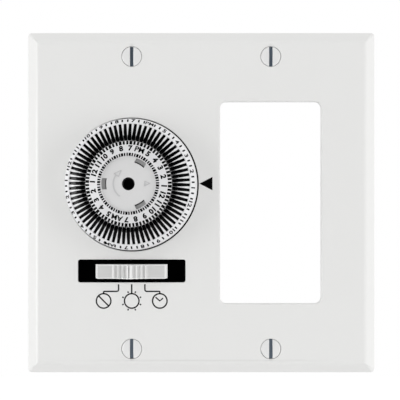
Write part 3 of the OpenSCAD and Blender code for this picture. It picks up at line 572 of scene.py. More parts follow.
@dataclass
class WallPlate:
    """Two-gang plate with sloping edges, its screws and its printed signs."""

    wall: float = 2.2
    bevel: float = 4.0
    foot: float = 0.8
    # Corners: the radius at the edge, how fast it changes with the profile, and its least.
    corner: Triple = (1.2, 0.3, 0.3)
    edge_lips: Pair = (1.1, 0.5)
    edge_cuts: Row = (0.9, 0.4, 0.12, 0.12, 0.3, 0.3)
    gang: float = 23.02
    opening: Triple = (33.5, 67.0, 2.0)
    window: Triple = (35.6, 7.6, 0.7)
    switch_y: float = -22.6
    dial_y: float = 6.0
    dial_hole: float = 22.2
    # Rims of holes: the width of the flat lip, and how far its corner is rounded.
    soft_rim: Pair = (0.65, 0.45)
    crisp_rim: Pair = (0.55, 0.14)
    back_rim: Pair = (0.4, 0.12)
    screw_y: float = 48.42
    seat: float = 3.4
    seat_lip: float = 0.45
    seat_drops: Pair = (1.0, 2.0)
    seat_ins: Pair = (-1.62, -1.32)
    seat_cuts: Row = (0.06, 0.1, 0.05, 0.05)
    head: float = 3.25
    head_steps: int = 33
    crown: float = 0.35
    # Rows of the crowned top, as shares of the way from the slot to the brim.
    crown_at: Row = (0, 0.03, 0.08, 0.2, 0.4, 0.6, 0.8, 0.92, 0.97, 1.0)
    slot: float = 1.15
    slot_depth: float = 0.8
    slot_sink: float = 0.05
    # How deep the head's edges are rounded down, and over what distance.
    brim_dull: Pair = (0.14, 0.3)
    slot_dull: Pair = (0.1, 0.18)
    brim_gap: float = 0.03
    brim_t: float = 0.15
    cone: float = 1.8
    cone_r: float = 1.5
    shank: float = 1.65
    thread_pitch: float = 0.79
    thread_depth: float = 0.3
    thread_rows: int = 110
    tip_r: float = 1.0
    tip_length: float = 0.5
    facets: int = 24
    pointer: tuple[Pair, ...] = ((-0.62, 6.32), (3.7, 8.55), (3.7, 4.09))
    line: float = 0.46
    sign_y: float = -32.5
    sign_r: float = 2.4
    sign_gap: float = 9.3
    slash: float = 135.0
    rays: Pair = (2.85, 3.4)
    ray_count: int = 8
    hands: tuple[Pair, ...] = ((-1.4, 1.22), (0, 0), (1.04, 0.93))
    leader_top: float = -27.0
    leader_bend: float = -29.35
    leader_x: float = 4.35
    leader_cuts: Pair = (0.7, 0.25)

    def __post_init__(self) -> None:
        """Reads the plate's overall sizes from the frame."""
        low, high = drawn_box("wall_plate")
        self.width, self.height = (high - low)[:2]
        self.face = high[2]
        self.back = self.face - self.wall
        self.tail = drawn_box("plate_screws")[0][2]
        self.screws = [(x, y) for x in (-self.gang, self.gang) for y in (-self.screw_y, self.screw_y)]

    def openings(self) -> list[Array]:
        """Rims of the dial's hole, the window, the decorator opening and the screw seats.

        Returns:
            For each rim, points of shape (rows, columns, 3).
        """
        dial = Outline((-self.gang, self.dial_y), 2 * self.dial_hole, 2 * self.dial_hole, self.dial_hole)
        window = Outline((-self.gang, self.switch_y), *self.window)
        decorator = Outline((self.gang, 0.0), *self.opening)
        face, back = self.face, self.back
        wide, fine = self.back_rim
        rims = ((dial, self.crisp_rim), (window, self.crisp_rim), (decorator, self.soft_rim))
        rows = []
        for outline, (lip, cut) in rims:
            rows.append(outline.rows(eased([(lip, face), (0, face), (0, back), (wide, back)], (cut, fine))))
        step, bottom = (face - drop for drop in self.seat_drops)
        hole, edge = self.seat_ins
        seat = [(self.seat_lip, face), (0, face), (0, step), (hole, bottom), (hole, back), (edge, back)]
        for screw in self.screws:
            outline = Outline(screw, 2 * self.seat, 2 * self.seat, self.seat)
            rows.append(outline.rows(eased(seat, self.seat_cuts)))
        return rows

    def build_plate(self) -> None:
        """Builds the plate: the edge's profile carried round, the holes' rims and the flat faces between."""
        shell = Shell("plate_moulding")
        deep = self.wall + self.bevel
        front, rear = self.edge_lips
        edge = eased(
            [(self.bevel + front, self.face), (self.bevel, self.face), (0, self.foot), (0, 0),
             (self.wall, 0), (self.wall, self.foot), (deep, self.back), (deep + rear, self.back)],
            self.edge_cuts)
        outline = Outline((0, 0), self.width, self.height, *self.corner)
        loops = [outline.rows(edge * [-1, 1]), *self.openings()]
        for rows in loops:
            shell.grid(rows)
        for end in (0, -1):
            shell.fill([rows[end] for rows in loops])
        finish_piece(shell.mesh(), "base", [PLATE_WHITE], ["wall_plate"])

    def add_head(self, shell: Shell, centre: Pair, side: int) -> None:
        """Adds half a screw head, the part of a circle outside the slot: crowned top, side and slot wall.

        Args:
            shell: Surface to add to.
            centre: x and y of the screw.
            side: 1 for the right half, -1 for the left.
        """
        angle = np.linspace(-np.pi / 2, np.pi / 2, self.head_steps)
        share = np.array(self.crown_at)[:, None, None]
        y = math.sqrt(self.head ** 2 - (self.slot / 2) ** 2) * np.sin(angle)
        rim = np.stack([side * np.sqrt(self.head ** 2 - y ** 2), y], axis=-1)
        root = np.stack([np.full_like(y, side * self.slot / 2), y], axis=-1)
        top = root + (rim - root) * share
        far = np.hypot(top[..., 0], top[..., 1])
        height = self.face + self.crown * (1 - (far / self.head) ** 2)
        inward = np.abs(top[..., 0]) - self.slot / 2
        for away, (deep, reach) in ((self.head - far, self.brim_dull), (inward, self.slot_dull)):
            height -= deep * np.clip(1 - away / reach, 0, 1) ** 2
        crown = np.concatenate([top + centre, height[..., None]], axis=-1)
        floor = self.face - self.slot_depth - self.slot_sink
        foot, base = lift(rim + centre, floor), lift(root + centre, floor)
        shell.grid(crown, around=False)
        shell.grid(np.stack([crown[-1], foot]), around=False)
        shell.grid(np.stack([crown[0], base]), around=False, tint=1)
        shell.grid(np.stack([base, foot]), around=False, tint=1)

    def build_screws(self) -> None:
        """Builds the four screws: two half heads on a cone, and a shank whose radius follows a helix."""
        shell = Shell("plate_screw_heads")
        floor, root = self.face - self.slot_depth, self.face - self.cone
        brim = self.head - self.brim_gap
        cone = np.array([(0.0, floor), (brim, floor), (brim, floor - self.brim_t), (self.cone_r, root)])
        z = np.linspace(root, self.tail + self.tip_length, self.thread_rows)
        angle = np.arange(self.facets) * 2 * np.pi / self.facets
        turn = (z[:, None] / self.thread_pitch + angle / (2 * np.pi)) % 1.0
        thread = lift(polar(self.shank - self.thread_depth * np.abs(2 * turn - 1), angle), z)
        tip = lift(circle(np.array([self.tip_r, 0.0]), self.facets), np.full(2, self.tail))
        shank = np.concatenate([lathe(cone[-1:], np.zeros(2), self.facets), thread, tip])
        for centre in self.screws:
            for side in (-1, 1):
                self.add_head(shell, centre, side)
            shell.grid(lathe(cone, centre, self.facets), tint=1)
            shell.grid(shank + [*centre, 0], tint=1)
        finish_piece(shell.mesh(), "base", [SCREW_PAINT, SLOT_STEEL], ["plate_screws"])

    def build_signs(self) -> None:
        """Builds the plate's print: pointer, leader lines and three position signs, as thin flat lines."""
        shell = Shell("plate_print")
        z = self.face + PRINT
        shell.slab(np.array(self.pointer), z)
        signs = np.array([(k * self.sign_gap - self.gang, self.sign_y) for k in (-1, 0, 1)])
        for sign in signs:
            shell.stroke(circle(self.sign_r, steps=48)[0] + sign, self.line, z, True, 1)
        bearings = (np.arange(self.ray_count) + 0.5) * 2 * np.pi / self.ray_count
        top, bend, end = self.leader_top, self.leader_bend, self.sign_y + self.sign_r
        paths = [polar(self.sign_r, math.radians(self.slash) + np.array([0, np.pi])) + signs[0]]
        paths += [polar(np.array(self.rays), bearing) + signs[1] for bearing in bearings]
        paths += [np.array(self.hands) + signs[2], np.array([(-self.gang, top), (-self.gang, end)])]
        for side in (-1, 1):
            near, far = side * self.leader_x, side * self.sign_gap
            leader = eased([(near, top), (near, bend), (far, bend), (far, end)], self.leader_cuts)
            paths.append(leader + [-self.gang, 0])
        for path in paths:
            shell.stroke(path, self.line, z, tint=1)
        finish_piece(shell.mesh(), "base", [INK_BLACK, INK_GREY])

    def build(self) -> None:
        """Builds the plate, its screws and its print."""
        self.build_plate()
        self.build_screws()
        self.build_signs()


@dataclass
class TimerDial:
    """Numbered dial: slotted ring, hub with its sunk disc, trippers and prints."""

    hours: int = 24
    each: int = 3
    pitch: float = 5.0
    shown: float = 13.22
    band: Pair = (1.35, 1.6)
    rim_lean: float = 0.6
    rim_foot: float = 7.0
    trough: float = 20.0
    outer_cuts: Row = (0.12, 0.15, 0.25, 0.3, 0.15, 0.1, 0.1, 0.1)
    slot_in: float = 13.8
    slot_out: float = 19.35
    slot_r: Row = (13.8, 13.9, 14.05, 14.25, 14.5, 15.4, 15.8, 16.4, 17.0, 17.4, 17.8, 19.2)
    slot_w: Row = (0.48, 0.77, 0.96, 1.07, 1.12, 1.12, 1.12, 1.11, 1.07, 1.01, 0.93, 0.87)
    ramp: Pair = (15.7, 18.9)
    ramp_h: float = 1.6
    ramp_cuts: Pair = (0.3, 0.15)
    rib_sink: float = 0.002
    rib_past: float = 0.15
    rib_steps: int = 9
    rounding: float = 0.3
    deck_t: float = 3.0
    seam: float = 1.0
    collar: float = 13.4
    cavity: float = 11.8
    flange: float = 3.4
    inner_cut: float = 0.05
    hub_edge: float = 16.1
    hub_lip: float = 0.06
    hub_cuts: Row = (0.05, 0.03, 0.03, 0.12, 0.1, 0.1, 0.1)
    print_room: float = 0.03
    disc_r: float = 8.7
    disc_edge: float = 8.6
    disc_drop: float = 0.6
    disc_t: float = 1.3
    # Rows of the hub's profile that belong to the disc and the wall round it.
    disc_rows: int = 5
    under_lip: float = 0.3
    hole_lip: float = 0.12
    hole_cut: float = 0.05
    eye: float = 2.05
    snap_angles: tuple[int, ...] = (60, 180, 300)
    snap: Triple = (6.95, 8.45, 1.75)
    snap_lip: float = 0.4
    snap_steps: int = 9
    # Raised marks: heights from the disc, then the arrow's arc and head as radius and degrees, and the peak.
    mark_z: Pair = (-0.02, 0.12)
    arc_r: float = 4.72
    arc_ends: Pair = (146, 236)
    arc_w: float = 0.42
    arc_steps: int = 40
    arrow: tuple[Pair, ...] = ((3.8, 143), (4.75, 118), (5.5, 144))
    peak: tuple[Pair, ...] = ((6.75, 0.15), (5.2, 0.8), (5.2, -0.65))
    mark_w: float = 0.24
    # Ticks: widths on the hour and between, and where they start and end across the band.
    inner_ticks: tuple[Pair, Pair] = ((0.72, 0.45), (0.0, 1.08))
    outer_ticks: tuple[Pair, Pair] = ((0.88, 0.66), (4.0, 5.26))
    ring_tick: Pair = (0.5, 1.4)
    # Lettering: height and weight of the digits, and of AM and PM.
    hub_digits: tuple[Pair, Pair] = ((1.92, 0.05), (1.85, 0.03))
    ring_digits: tuple[Pair, Pair] = ((1.85, 0.035), (1.6, 0.02))
    hub_middle: float = 2.75
    # Trippers: radius and height along the bar, the head's narrowing and height, the neck and the lug.
    tip_rise: float = 0.04
    shelf_rise: float = 0.05
    nose_r: Row = (13.88, 13.95, 14.05, 14.2, 14.5)
    bar_r: Row = (14.8, 15.6, 16.95, 18.9, 19.3)
    bar_sag: float = 0.51
    bar_end: float = 0.8
    bar_cuts: Row = (0.15, 0.3, 0.15, 0.12)
    bar_foot: float = 9.0
    bar_gap: float = 0.03
    head_r: Row = (15.0, 15.25, 15.45, 15.55)
    head_gap: Row = (0.1, 0.07, 0.04, 0.02, 0.02, 0.02, 0.03, 0.05, 0.09)
    head_z: Row = (15.75, 15.84, 15.93, 15.98, 16.0, 16.0, 15.98, 15.9, 15.6)
    head_foot: float = 15.05
    neck: tuple[Pair, float, float, float] = ((14.1, 15.55), 0.42, 12.8, 15.2)
    lug: tuple[Pair, float, float, float] = ((19.0, 19.8), 0.34, 9.0, 10.28)
    lug_rounding: float = 0.1

    # Hours that carry a word in place of a number.
    WORDS = {6: "AM", 18: "PM"}

    def __post_init__(self) -> None:
        """Reads the dial's place and overall sizes from the frame."""
        low, high = drawn_box("dial_ring")
        self.centre = (low + high)[:2] / 2
        self.rim, self.ring_z, self.foot = (high - low)[0] / 2, high[2] - self.ramp_h, low[2]
        low, high = drawn_box("dial_hub")
        self.hub_r, self.hub_top = (high - low)[0] / 2, high[2] - self.print_room
        self.deck = self.ring_z - self.deck_t
        self.disc_z = self.hub_top - self.disc_drop
        self.under = self.disc_z - self.disc_t
        self.band_r = self.rim - self.rim_lean
        self.band_z = self.ring_z - self.band[1]
        self.land = self.band_r - self.band[0]
        self.ring_band = ConeBand(self.centre, (self.land, self.ring_z), (self.band_r, self.band_z))
        self.hub_band = ConeBand(self.centre, (self.disc_r + self.hub_lip, self.hub_top),
                                 (self.hub_r, self.hub_edge))
        self.count = self.hours * self.each

    def hour_at(self, hour: float) -> float:
        """Bearing of an hour in degrees, against the clock from x."""
        return (hour - self.shown) * self.each * self.pitch

    def slot_half(self, radius: Array) -> Array:
        """Half width of a slot, rounded at the hub and narrowing towards the number band."""
        return np.interp(radius, self.slot_r, self.slot_w) / 2

    def build_ring(self) -> None:
        """Builds the ring: an outer and an inner turned profile, bridged by a sloping rib between slots."""
        shell = Shell("dial_slotted_ring")
        deck, start = self.deck, self.deck + self.seam
        outer = eased(
            [(self.slot_out, start), (self.slot_out, self.ring_z), (self.land, self.ring_z),
             (self.band_r, self.band_z), (self.rim, self.rim_foot), (self.rim, self.foot),
             (self.trough, self.foot), (self.trough, deck), (self.slot_out, deck), (self.slot_out, start)],
            self.outer_cuts, steps=3)
        inner = eased(
            [(self.slot_in, start), (self.slot_in, self.ring_z), (self.cavity, self.ring_z),
             (self.cavity, self.flange), (self.collar, self.flange), (self.collar, deck),
             (self.slot_in, deck), (self.slot_in, start)], (self.inner_cut,) * 6, steps=1)
        shell.grid(lathe(outer, self.centre, 2 * self.count))
        shell.grid(lathe(inner, self.centre, self.count))
        low, high = self.ring_z - self.rib_sink, self.ring_z + self.ramp_h
        line = eased([(self.slot_in, high), (self.ramp[0], high), (self.ramp[1], low),
                      (self.slot_out + self.rib_past, low)], self.ramp_cuts, steps=3)
        spread = np.concatenate([np.linspace(line[0, 0], line[-1, 0], self.rib_steps), self.slot_r])
        line = np.concatenate([line, np.stack([spread, np.interp(spread, *line.T)], axis=1)])
        radius, top = np.unique(line.round(4), axis=0).T
        half = radius * math.radians(self.pitch / 2) - self.slot_half(radius)
        rib = self.bar_rows(radius, half, deck, top, self.rounding)
        for k in range(self.count):
            shell.loft(turned(rib, self.hour_at(0) + self.pitch * k, self.centre))
        finish_piece(shell.mesh(), "dial", [DIAL_WHITE], ["dial_ring"])

    def snap_rows(self, bearing: float, profile: Array) -> Array:
        """Carries a profile of growth and height round a snap window, a piece of a ring.

        Args:
            bearing: Angle of the window's middle in degrees.
            profile: Points of shape (n, 2): how far the outline grows, and z.

        Returns:
            Points of shape (n, columns, 3).
        """
        grow = profile[:, :1]
        low, high, half = self.snap[0] - grow, self.snap[1] + grow, self.snap[2] + grow
        across = np.linspace(-1, 1, self.snap_steps)[None, :]
        radius = np.repeat(np.concatenate([low, high], axis=1), self.snap_steps, axis=1)
        side = np.concatenate([across, -across], axis=1) * half
        return turned(lift(polar(radius, side / radius), profile[:, 1]), bearing, self.centre)

    def build_hub(self) -> None:
        """Builds the hub: a turned profile, and the sunk disc filled round its eye and snap windows."""
        shell = Shell("dial_hub_moulding")
        body = eased(
            [(self.disc_edge, self.disc_z), (self.disc_r, self.disc_z), (self.disc_r, self.hub_top),
             self.hub_band.inner, self.hub_band.outer, (self.hub_r, self.ring_z), (self.cavity, self.ring_z),
             (self.cavity, self.under), (self.cavity - self.under_lip, self.under)], self.hub_cuts, steps=3)
        rows = lathe(body, self.centre)
        shell.grid(rows[:self.disc_rows], tint=1)
        shell.grid(rows[self.disc_rows - 1:])
        hole = eased([(self.hole_lip, self.disc_z), (0, self.disc_z), (0, self.under),
                      (self.hole_lip, self.under)], (self.hole_cut,) * 2, steps=2)
        holes = [lathe(hole + [self.eye, 0], self.centre, steps=48)]
        holes += [self.snap_rows(angle, hole * [self.snap_lip, 1]) for angle in self.snap_angles]
        for part in holes:
            shell.grid(part, tint=1)
        for end, tint in ((0, 1), (-1, 0)):
            shell.fill([part[end] for part in (rows, *holes)], tint)
        finish_piece(shell.mesh(), "dial", [HUB_WHITE, DISC_WHITE], ["dial_hub"])

    def build_marks(self) -> None:
        """Builds the raised turning arrow and the small triangle on the sunk disc, in a darker grey that
        paints their relief's shade.
        """
        shell = Shell("disc_raised_marks")
        z = self.disc_z + np.array(self.mark_z)
        arc = polar(self.arc_r, np.radians(np.linspace(*self.arc_ends, self.arc_steps)))
        shell.stroke(arc + self.centre, self.arc_w, z)
        radius, angle = np.array(self.arrow).T
        for mark in (polar(radius, np.radians(angle)), np.array(self.peak)):
            for side in np.stack([mark, np.roll(mark, -1, axis=0)], axis=1):
                shell.stroke(side + self.centre, self.mark_w, z)
        finish_piece(shell.mesh(), "dial", [DISC_MARK_SHADE])

    def add_ticks(self, shell: Shell, band: ConeBand, bearing: Array, width: Array, span: Pair) -> None:
        """Adds tick marks to a band, thin bars across part of its width.

        Args:
            shell: Print to add to.
            band: The band that carries them.
            bearing: Angle of each tick in degrees.
            width: Width of each tick.
            span: Distance of the ticks' two ends from the band's inner edge.
        """
        along = width[:, None, None] * [-0.5, -0.5, 0.5, 0.5]
        corners = np.broadcast_arrays(along, np.append(span, span[::-1]), PRINT[:, None])
        for bar in band.lay(np.stack(corners, axis=-1), bearing[:, None, None]):
            shell.loft(bar)

    def add_number(self, shell: Shell, band: ConeBand, hour: int, style: Pair, middle: float,
                   tint: int) -> None:
        """Adds an hour's number, or its half of the day, upright on a band.

        Args:
            shell: Print to add to.
            band: The band that carries it.
            hour: Hour of the day.
            style: Height of the digits along the band's slope, and how far their outlines are thickened.
            middle: Distance of their middle from the band's inner edge.
            tint: Number of the finish.
        """
        points, faces = lettering(self.WORDS.get(hour, str(hour % 12 or 12)), style[1])
        shape = points * [style[0], style[0], np.ptp(PRINT)] + [0, middle, PRINT[0]]
        shell.add(band.lay(shape, self.hour_at(hour)), faces, tint)

    def build_prints(self) -> None:
        """Builds the prints on the hub's cone and on the ring's number band."""
        hub, ring = Shell("hub_print"), Shell("ring_print")
        bearing = self.hour_at(0) + self.pitch * np.arange(self.count)
        bold = np.arange(self.count) % self.each == 0
        for widths, span in (self.inner_ticks, self.outer_ticks):
            self.add_ticks(hub, self.hub_band, bearing, np.where(bold, *widths), span)
        middle = self.ring_band.width / 2
        width, length = self.ring_tick
        widths = np.full(self.count - self.hours, width)
        span = (middle - length / 2, middle + length / 2)
        self.add_ticks(ring, self.ring_band, bearing[~bold], widths, span)
        for hour in range(self.hours):
            word = int(hour in self.WORDS)
            self.add_number(hub, self.hub_band, hour, self.hub_digits[word], self.hub_middle, 0)
            self.add_number(ring, self.ring_band, hour, self.ring_digits[word], middle, 1 - word)
        for shell in (hub, ring):
            finish_piece(shell.mesh(), "dial", [INK_BLACK, INK_GREY])

    @staticmethod
    def bar_rows(radius: Sequence[float], half: Numbers, low: float, high: Numbers, ease: float) -> Array:
        """Sections of a bar along the radius: straight sides and a top rounded over.

        Args:
            radius: Radius of each section.
            half: Half width, one for all or one for each section.
            low: Underside of the bar.
            high: Top, one for all or one for each section.
            ease: How far the top corners are rounded, as a share of the half width.

        Returns:
            Sections of shape (n, columns, 3) as radius, sideways distance and height.
        """
        radius, half, high = (part[:, None] for part in np.broadcast_arrays(radius, half, high))
        turn = np.linspace(0, np.pi / 2, 4)
        across = np.concatenate([[1], 1 - ease * (1 - np.cos(turn))])
        drop = np.concatenate([[0], 1 - np.sin(turn)]) * ease
        z = high - np.concatenate([drop, drop[::-1]]) * half
        z[:, [0, -1]] = low
        side = half * np.concatenate([across, -across[::-1]])
        return np.stack([np.broadcast_to(radius, z.shape), side, z], axis=-1)

    def build_trippers(self) -> None:
        """Builds each hour's trippers: a bladed bar, its raised head by the hub and its lug below."""
        tip, shelf = self.ring_z + self.tip_rise, self.ring_z + self.ramp_h + self.shelf_rise
        heights = (shelf, shelf, shelf - self.bar_sag, tip, tip, tip - self.bar_end)
        line = eased(list(zip((*self.bar_r, self.bar_r[-1]), heights)), self.bar_cuts)
        nose = np.array(self.nose_r)
        line = np.concatenate([lift(nose[:, None], shelf), line])
        reach = np.append(nose, self.head_r)
        parts = [
            self.bar_rows(line[:, 0], self.slot_half(line[:, 0]) - self.bar_gap, self.bar_foot, line[:, 1],
                          self.rounding),
            self.bar_rows(reach, self.slot_half(reach) - self.head_gap, self.head_foot, self.head_z,
                          self.rounding),
            self.bar_rows(*self.neck, self.lug_rounding),
            self.bar_rows(*self.lug, self.lug_rounding),
        ]
        for hour in range(self.hours):
            name = f"tripper_{'am' if hour < 12 else 'pm'}_{hour % 12 or 12}"
            shell = Shell(name + "_bars")
            for k in range(self.each):
                for part in parts:
                    shell.loft(turned(part, self.hour_at(hour) + self.pitch * (k + 0.5), self.centre))
            finish_piece(shell.mesh(), name, [TRIPPER_BLACK], [name])

    def build(self) -> None:
        """Builds the ring, the hub, the disc's marks, the prints and the trippers."""
        self.build_ring()
        self.build_hub()
        self.build_marks()
        self.build_prints()
        self.build_trippers()


@dataclass
class SlideKnob:
    """Ribbed knob of the slide switch, with its stem."""

    base: float = 3.4
    end: float = 8.2
    thick: float = 2.0
    slope: float = 0.7
    ridge_w: float = 1.5
    groove_w: float = 0.4
    groove_d: float = 0.6
    pitch: float = 1.5
    start: float = 0.15
    flat_at: float = 3.5
    # A rib's front and back edges from its middle, and the foot of its slope.
    rib_at: Triple = (-0.12, 0.12, 0.75)
    end_cuts: Pair = (0.25, 0.15)
    rib_cuts: Triple = (0.08, 0.08, 0.15)
    ridge_cuts: Pair = (0.2, 0.08)
    # How far the groove and the right half's ribs are moved sideways, by their place along the knob.
    shift_at: Row = (-2.0, -0.3, 0.3, 0.9, 1.6, 6.2, 8.5)
    shift_by: Row = (0.0, -0.55, -0.55, -0.3, -0.56, -0.6, 0.0)
    rounding: float = 0.3
    crest_slope: float = 0.4
    margin: float = 0.1
    neck: Pair = (19.7, 3.0)
    stem: Pair = (6.0, 1.8)
    post_corner: float = 0.15

    def __post_init__(self) -> None:
        """Reads the knob's place and overall sizes from the frame."""
        low, high = drawn_box("slide_knob")
        self.centre = (low + high)[:2] / 2
        self.length, self.width = (high - low)[:2]
        self.foot, self.top = low[2], high[2]
        self.under = self.end - self.thick

    def profile(self) -> Array:
        """Top line of the knob along its length: sloping ends, flats, three ribs a side and a grooved ridge.

        The left half is mirrored, and then the groove and the right half's ribs are moved to the left.

        Returns:
            Points of shape (n, 2): distance from the knob's middle, and z.
        """
        rise, left, ridge = self.top - self.end, -self.length / 2, -self.ridge_w / 2
        half = [(left, self.under), (left + self.slope, self.end),
                (ridge - self.pitch * (self.flat_at + self.start), self.end)]
        for k in (3, 2, 1):
            x, crest = ridge - self.pitch * (k + self.start), self.end + rise * (1 - k / 4)
            half += zip(np.add(x, self.rib_at), (crest, crest, crest - rise / 4))
        half += [(ridge, self.top), (-self.groove_w / 2, self.top), (0, self.top - self.groove_d)]
        line = eased(half, (*self.end_cuts, *self.rib_cuts * 3, *self.ridge_cuts), steps=3)
        line = np.concatenate([line, line[-2::-1] * [-1, 1]])
        line[:, 0] += np.interp(line[:, 0], self.shift_at, self.shift_by)
        return line

    def build(self) -> None:
        """Builds the knob: its top line carried across, the long edges rounded, and the stem below.

        The knob's edges and ends take the lighter copy of its plastic, a painted highlight of the side
        lamps, and so do the crests of the ridge and of the right half's ribs, where the top line is nearly
        level above the flats.
        """
        shell = Shell("slide_knob_ribbed")
        line = self.profile()
        turn = np.linspace(0, np.pi / 2, 4)
        half = self.width / 2
        side = np.concatenate([[half], half - self.rounding * (1 - np.cos(turn))])
        drop = np.concatenate([[np.inf], self.rounding * (1 - np.sin(turn))])
        side, drop = np.concatenate([side, -side[::-1]]), np.concatenate([drop, drop[::-1]])
        z = np.maximum(line[:, 1:] - drop, self.under)
        x = np.broadcast_to(line[:, :1] + self.centre[0], z.shape)
        run, climb = np.abs(np.diff(line, axis=0)).T
        middle, height = ((line[1:] + line[:-1]) / 2).T
        level = climb < self.crest_slope * run
        crest = level & (height > self.end + self.margin) & (middle > -self.ridge_w)
        tint = np.ones((len(line) - 1, len(side)), dtype=int)
        # Faces tinted 1 take the painted highlight: the crests and the sloping ends.
        tint[:, len(side) // 2 - 1] = crest | (np.abs(middle) > self.length / 2 - self.slope - self.margin)
        shell.grid(np.stack([x, np.broadcast_to(side + self.centre[1], z.shape), z], axis=-1), tint=tint)
        for size, low, high in ((self.neck, self.base, self.under), (self.stem, self.foot, self.base)):
            post = rounded_rect(*size, self.post_corner, steps=3)[0] + self.centre
            shell.slab(post, (low, high + self.margin))
        finish_piece(shell.mesh(), "slide", [KNOB_SHADED_GREY, KNOB_PAINTED_HIGHLIGHT], ["slide_knob"])


@dataclass
class Device:
    """Housing, strap, terminals and works behind the plate."""

    dial: TimerDial
    flat_angle: float = 0.5
    sharp: float = 30.0
    rounded_past: float = 40.0

    # Outer nodes, each with its finish, its slot and how far its edges are rounded.
    SOFTENED = {
        "mounting_strap": (STRAP_ZINC, "strap_steel", 0.18),
        "front_housing": (HOUSING_BLACK, "housing_black", 0.35),
        "rear_housing": (HOUSING_BLACK, "housing_black", 0.35),
        "mechanism_plate": (STRAP_ZINC, "strap_steel", 0.12),
        "housing_screws": (SCREW_ZINC, "strap_steel", 0.15),
        "terminal_plates": (BRASS, "brass", 0.12),
        "terminal_screws": (BRASS, "brass", 0.2),
        "ground_screw": (GROUND_GREEN, "ground_green", 0.2),
    }
    PLAIN = {
        TRAY_BLACK: ("switch_tray", "slide_carriage", "dial_shield"),
        STRAP_ZINC: ("dial_retainer", "detent_spring"),
        SHAFT_STEEL: ("dial_spindle", "idler_axle", "follower_pin"),
        BRASS: ("fixed_contact", "blade_anchor", "switch_contacts", "motor_pinion"),
        BRONZE: ("clutch_spring", "contact_blade", "slide_wiper"),
        NYLON: ("day_gear", "idler_gear", "follower_lever"),
        MOTOR_ZINC: ("motor_can",),
        COIL_COPPER: ("motor_coil",),
        BOARD_BROWN: ("contact_board",),
    }

    def soften(self, node: str, finish: Finish, cut: float) -> None:
        """Copies a CAD node, joins its triangles into flat faces and rounds its edges with a bevel.

        Args:
            node: Name of the node.
            finish: Finish of the copy.
            cut: Width of the rounding.
        """
        work = bmesh.new()
        work.from_mesh(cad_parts[node].data)
        bmesh.ops.remove_doubles(work, verts=work.verts, dist=MERGE)
        flat = math.radians(self.flat_angle)
        bmesh.ops.dissolve_limit(work, angle_limit=flat, verts=work.verts, edges=work.edges)
        mesh = bpy.data.meshes.new(node + "_softened")
        work.to_mesh(mesh)
        work.free()
        piece = finish_piece(mesh, "base", [finish], [node], self.sharp)
        edge = piece.modifiers.new("rounded_edges", "BEVEL")
        edge.width = cut * MM
        edge.segments = 2
        edge.limit_method = "ANGLE"
        edge.angle_limit = math.radians(self.rounded_past)
        edge.use_clamp_overlap = False
        edge.loop_slide = False
        piece.modifiers.move(1, 0)

    @staticmethod
    def dress(node: str, finish: Finish) -> None:
        """Gives a CAD node a finish.

        Args:
            node: Name of the node.
            finish: The finish.
        """
        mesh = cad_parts[node].data
        mesh.materials.clear()
        mesh.materials.append(finish.material())
        LOG.info("%s dressed in %s", node, finish.name)

    def build(self) -> None:
        """Rounds the outer nodes and dresses the inner ones."""
        for node, (finish, slot, cut) in self.SOFTENED.items():
            self.soften(node, finish, cut)
        for finish, nodes in self.PLAIN.items():
            for node in nodes:
                self.dress(node, finish)
        # The carrier's grey takes painted shade on the snap windows' inner edges.
        self.dress("dial_carrier", replace(CARRIER_GREY_SHADED, axis=tuple(self.dial.centre.tolist())))


@dataclass(frozen=True)
class Lamp:
    """Soft rectangular lamp that faces the object: place and size in metres, and power in watts."""

    name: str
    place: Triple
    size: Pair
    power: float
    gloss_only: bool = False

    def build(self) -> None:
        """Adds the lamp; one for gloss only shows as a gleam on glossy surfaces."""
        data = bpy.data.lights.new(self.name, "AREA")
        data.shape = "RECTANGLE"
        data.size, data.size_y = self.size
        data.energy = self.power
        lamp = bpy.data.objects.new(self.name, data)
        lamp.location = self.place
        lamp.rotation_euler = (-Vector(self.place)).to_track_quat("-Z", "Y").to_euler()
        lamp.visible_camera = False
        lamp.visible_diffuse = not self.gloss_only
        bpy.context.scene.collection.objects.link(lamp)


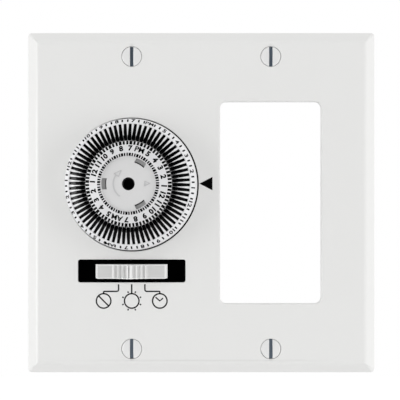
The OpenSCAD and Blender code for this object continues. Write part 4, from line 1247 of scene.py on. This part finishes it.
@dataclass
class Studio:
    """Camera, lamps, white surroundings and floor."""

    eye: Triple = (-0.42, -245.6, 0.9)
    lens: float = 65.26
    sensor: float = 36.0
    near: float = 0.01
    ambient: float = 0.65
    room: float = 0.03
    room_fade: Pair = (-0.35, 0.0)
    floor_z: float = -0.55
    floor_half: float = 2.0
    floor_tone: Row = (0.82, 0.82, 0.82, 1.0)
    floor_glow: float = 0.5
    lamps: tuple[Lamp, ...] = (
        Lamp("left_softbox", (-0.8, -0.32, -0.01), (0.8, 0.8), 3.65),
        Lamp("right_softbox", (0.8, -0.32, -0.06), (0.8, 0.8), 3.65),
        Lamp("upper_fill", (0.0, -0.3, 0.8), (1.0, 0.5), 1.3),
        Lamp("left_glint", (-0.744, -0.292, -0.041), (0.1, 0.4), 5.0, gloss_only=True),
    )

    def build_camera(self) -> None:
        """Places the camera square to the plate."""
        data = bpy.data.cameras.new("front_camera")
        data.lens, data.sensor_width, data.clip_start = self.lens, self.sensor, self.near
        camera = bpy.data.objects.new("front_camera", data)
        camera.location = Vector(self.eye) * MM
        camera.rotation_euler = (math.pi / 2, 0.0, 0.0)
        bpy.context.scene.collection.objects.link(camera)
        bpy.context.scene.camera = camera

    @staticmethod
    def seen(tree: bpy.types.NodeTree) -> bpy.types.NodeSocket:
        """Mask of the rays that see the white surroundings: from the camera, a gloss or through glass.

        Args:
            tree: Node tree to add the nodes to.

        Returns:
            The mask's socket.
        """
        rays = add_node(tree, "LightPath", {})
        mask = rays["Is Camera Ray"]
        for name in ("Is Glossy Ray", "Is Transmission Ray"):
            mask = add_node(tree, "Math", {0: mask, 1: rays[name]}, "MAXIMUM")[0]
        return mask

    def build_world(self) -> None:
        """Lights the object evenly, with a white backdrop for rays that see it and a dim room in front."""
        world = bpy.data.worlds.new("white_studio")
        world.use_nodes = True
        tree = world.node_tree
        light = tree.nodes["Background"]
        feed(tree, light, {"Color": WHITE, "Strength": self.ambient})
        place = add_node(tree, "TexCoord", {})["Generated"]
        depth = add_node(tree, "SeparateXYZ", {0: place})["Y"]
        start, end = self.room_fade
        fade = {"Value": depth, "From Min": start, "From Max": end, "To Min": self.room}
        back = add_node(tree, "MapRange", fade)["Result"]
        camera = add_node(tree, "LightPath", {})["Is Camera Ray"]
        shown = add_node(tree, "Math", {0: camera, 1: back}, "MAXIMUM")[0]
        white = add_node(tree, "Background", {"Color": WHITE, "Strength": shown})[0]
        mix = add_node(tree, "MixShader", {0: self.seen(tree), 1: light.outputs[0], 2: white})[0]
        feed(tree, tree.nodes["World Output"], {"Surface": mix})
        bpy.context.scene.world = world

    def build_floor(self) -> None:
        """Builds a wide pale floor, white to the camera apart from the object's shadow."""
        side = np.linspace(-self.floor_half, self.floor_half, 3)
        x, y = np.meshgrid(side, side, indexing="ij")
        points = np.stack([x, y, np.full_like(x, self.floor_z)], axis=-1).reshape(-1, 3)
        mesh = bpy.data.meshes.new("studio_floor")
        mesh.from_pydata(points.tolist(), [], [[0, 3, 4, 1], [1, 4, 5, 2], [3, 6, 7, 4], [4, 7, 8, 5]])
        material = bpy.data.materials.new("floor_white")
        material.use_nodes = True
        tree = material.node_tree
        shader = tree.nodes["Principled BSDF"]
        feed(tree, shader, {"Base Color": self.floor_tone, "Roughness": 1.0, "Specular IOR Level": 0.0})
        matt = shader.outputs[0]
        glow = add_node(tree, "Emission", {"Strength": self.floor_glow})[0]
        both = add_node(tree, "AddShader", {0: matt, 1: glow})[0]
        mix = add_node(tree, "MixShader", {0: self.seen(tree), 1: matt, 2: both})[0]
        feed(tree, tree.nodes["Material Output"], {"Surface": mix})
        mesh.materials.append(material)
        floor = bpy.data.objects.new("studio_floor", mesh)
        bpy.context.scene.collection.objects.link(floor)

    def build(self) -> None:
        """Sets up the camera, two side lamps, a weak fill above, a gleam, the surroundings and the floor."""
        bpy.context.scene.view_settings.view_transform = "Standard"
        self.build_camera()
        for lamp in self.lamps:
            lamp.build()
        self.build_world()
        self.build_floor()


def main() -> None:
    """Builds the studio and every sub-assembly in order."""
    logging.basicConfig(level=logging.INFO, format="%(message)s")
    Studio().build()
    WallPlate().build()
    dial = TimerDial()
    dial.build()
    SlideKnob().build()
    Device(dial).build()


if __name__ == "__main__":
    main()
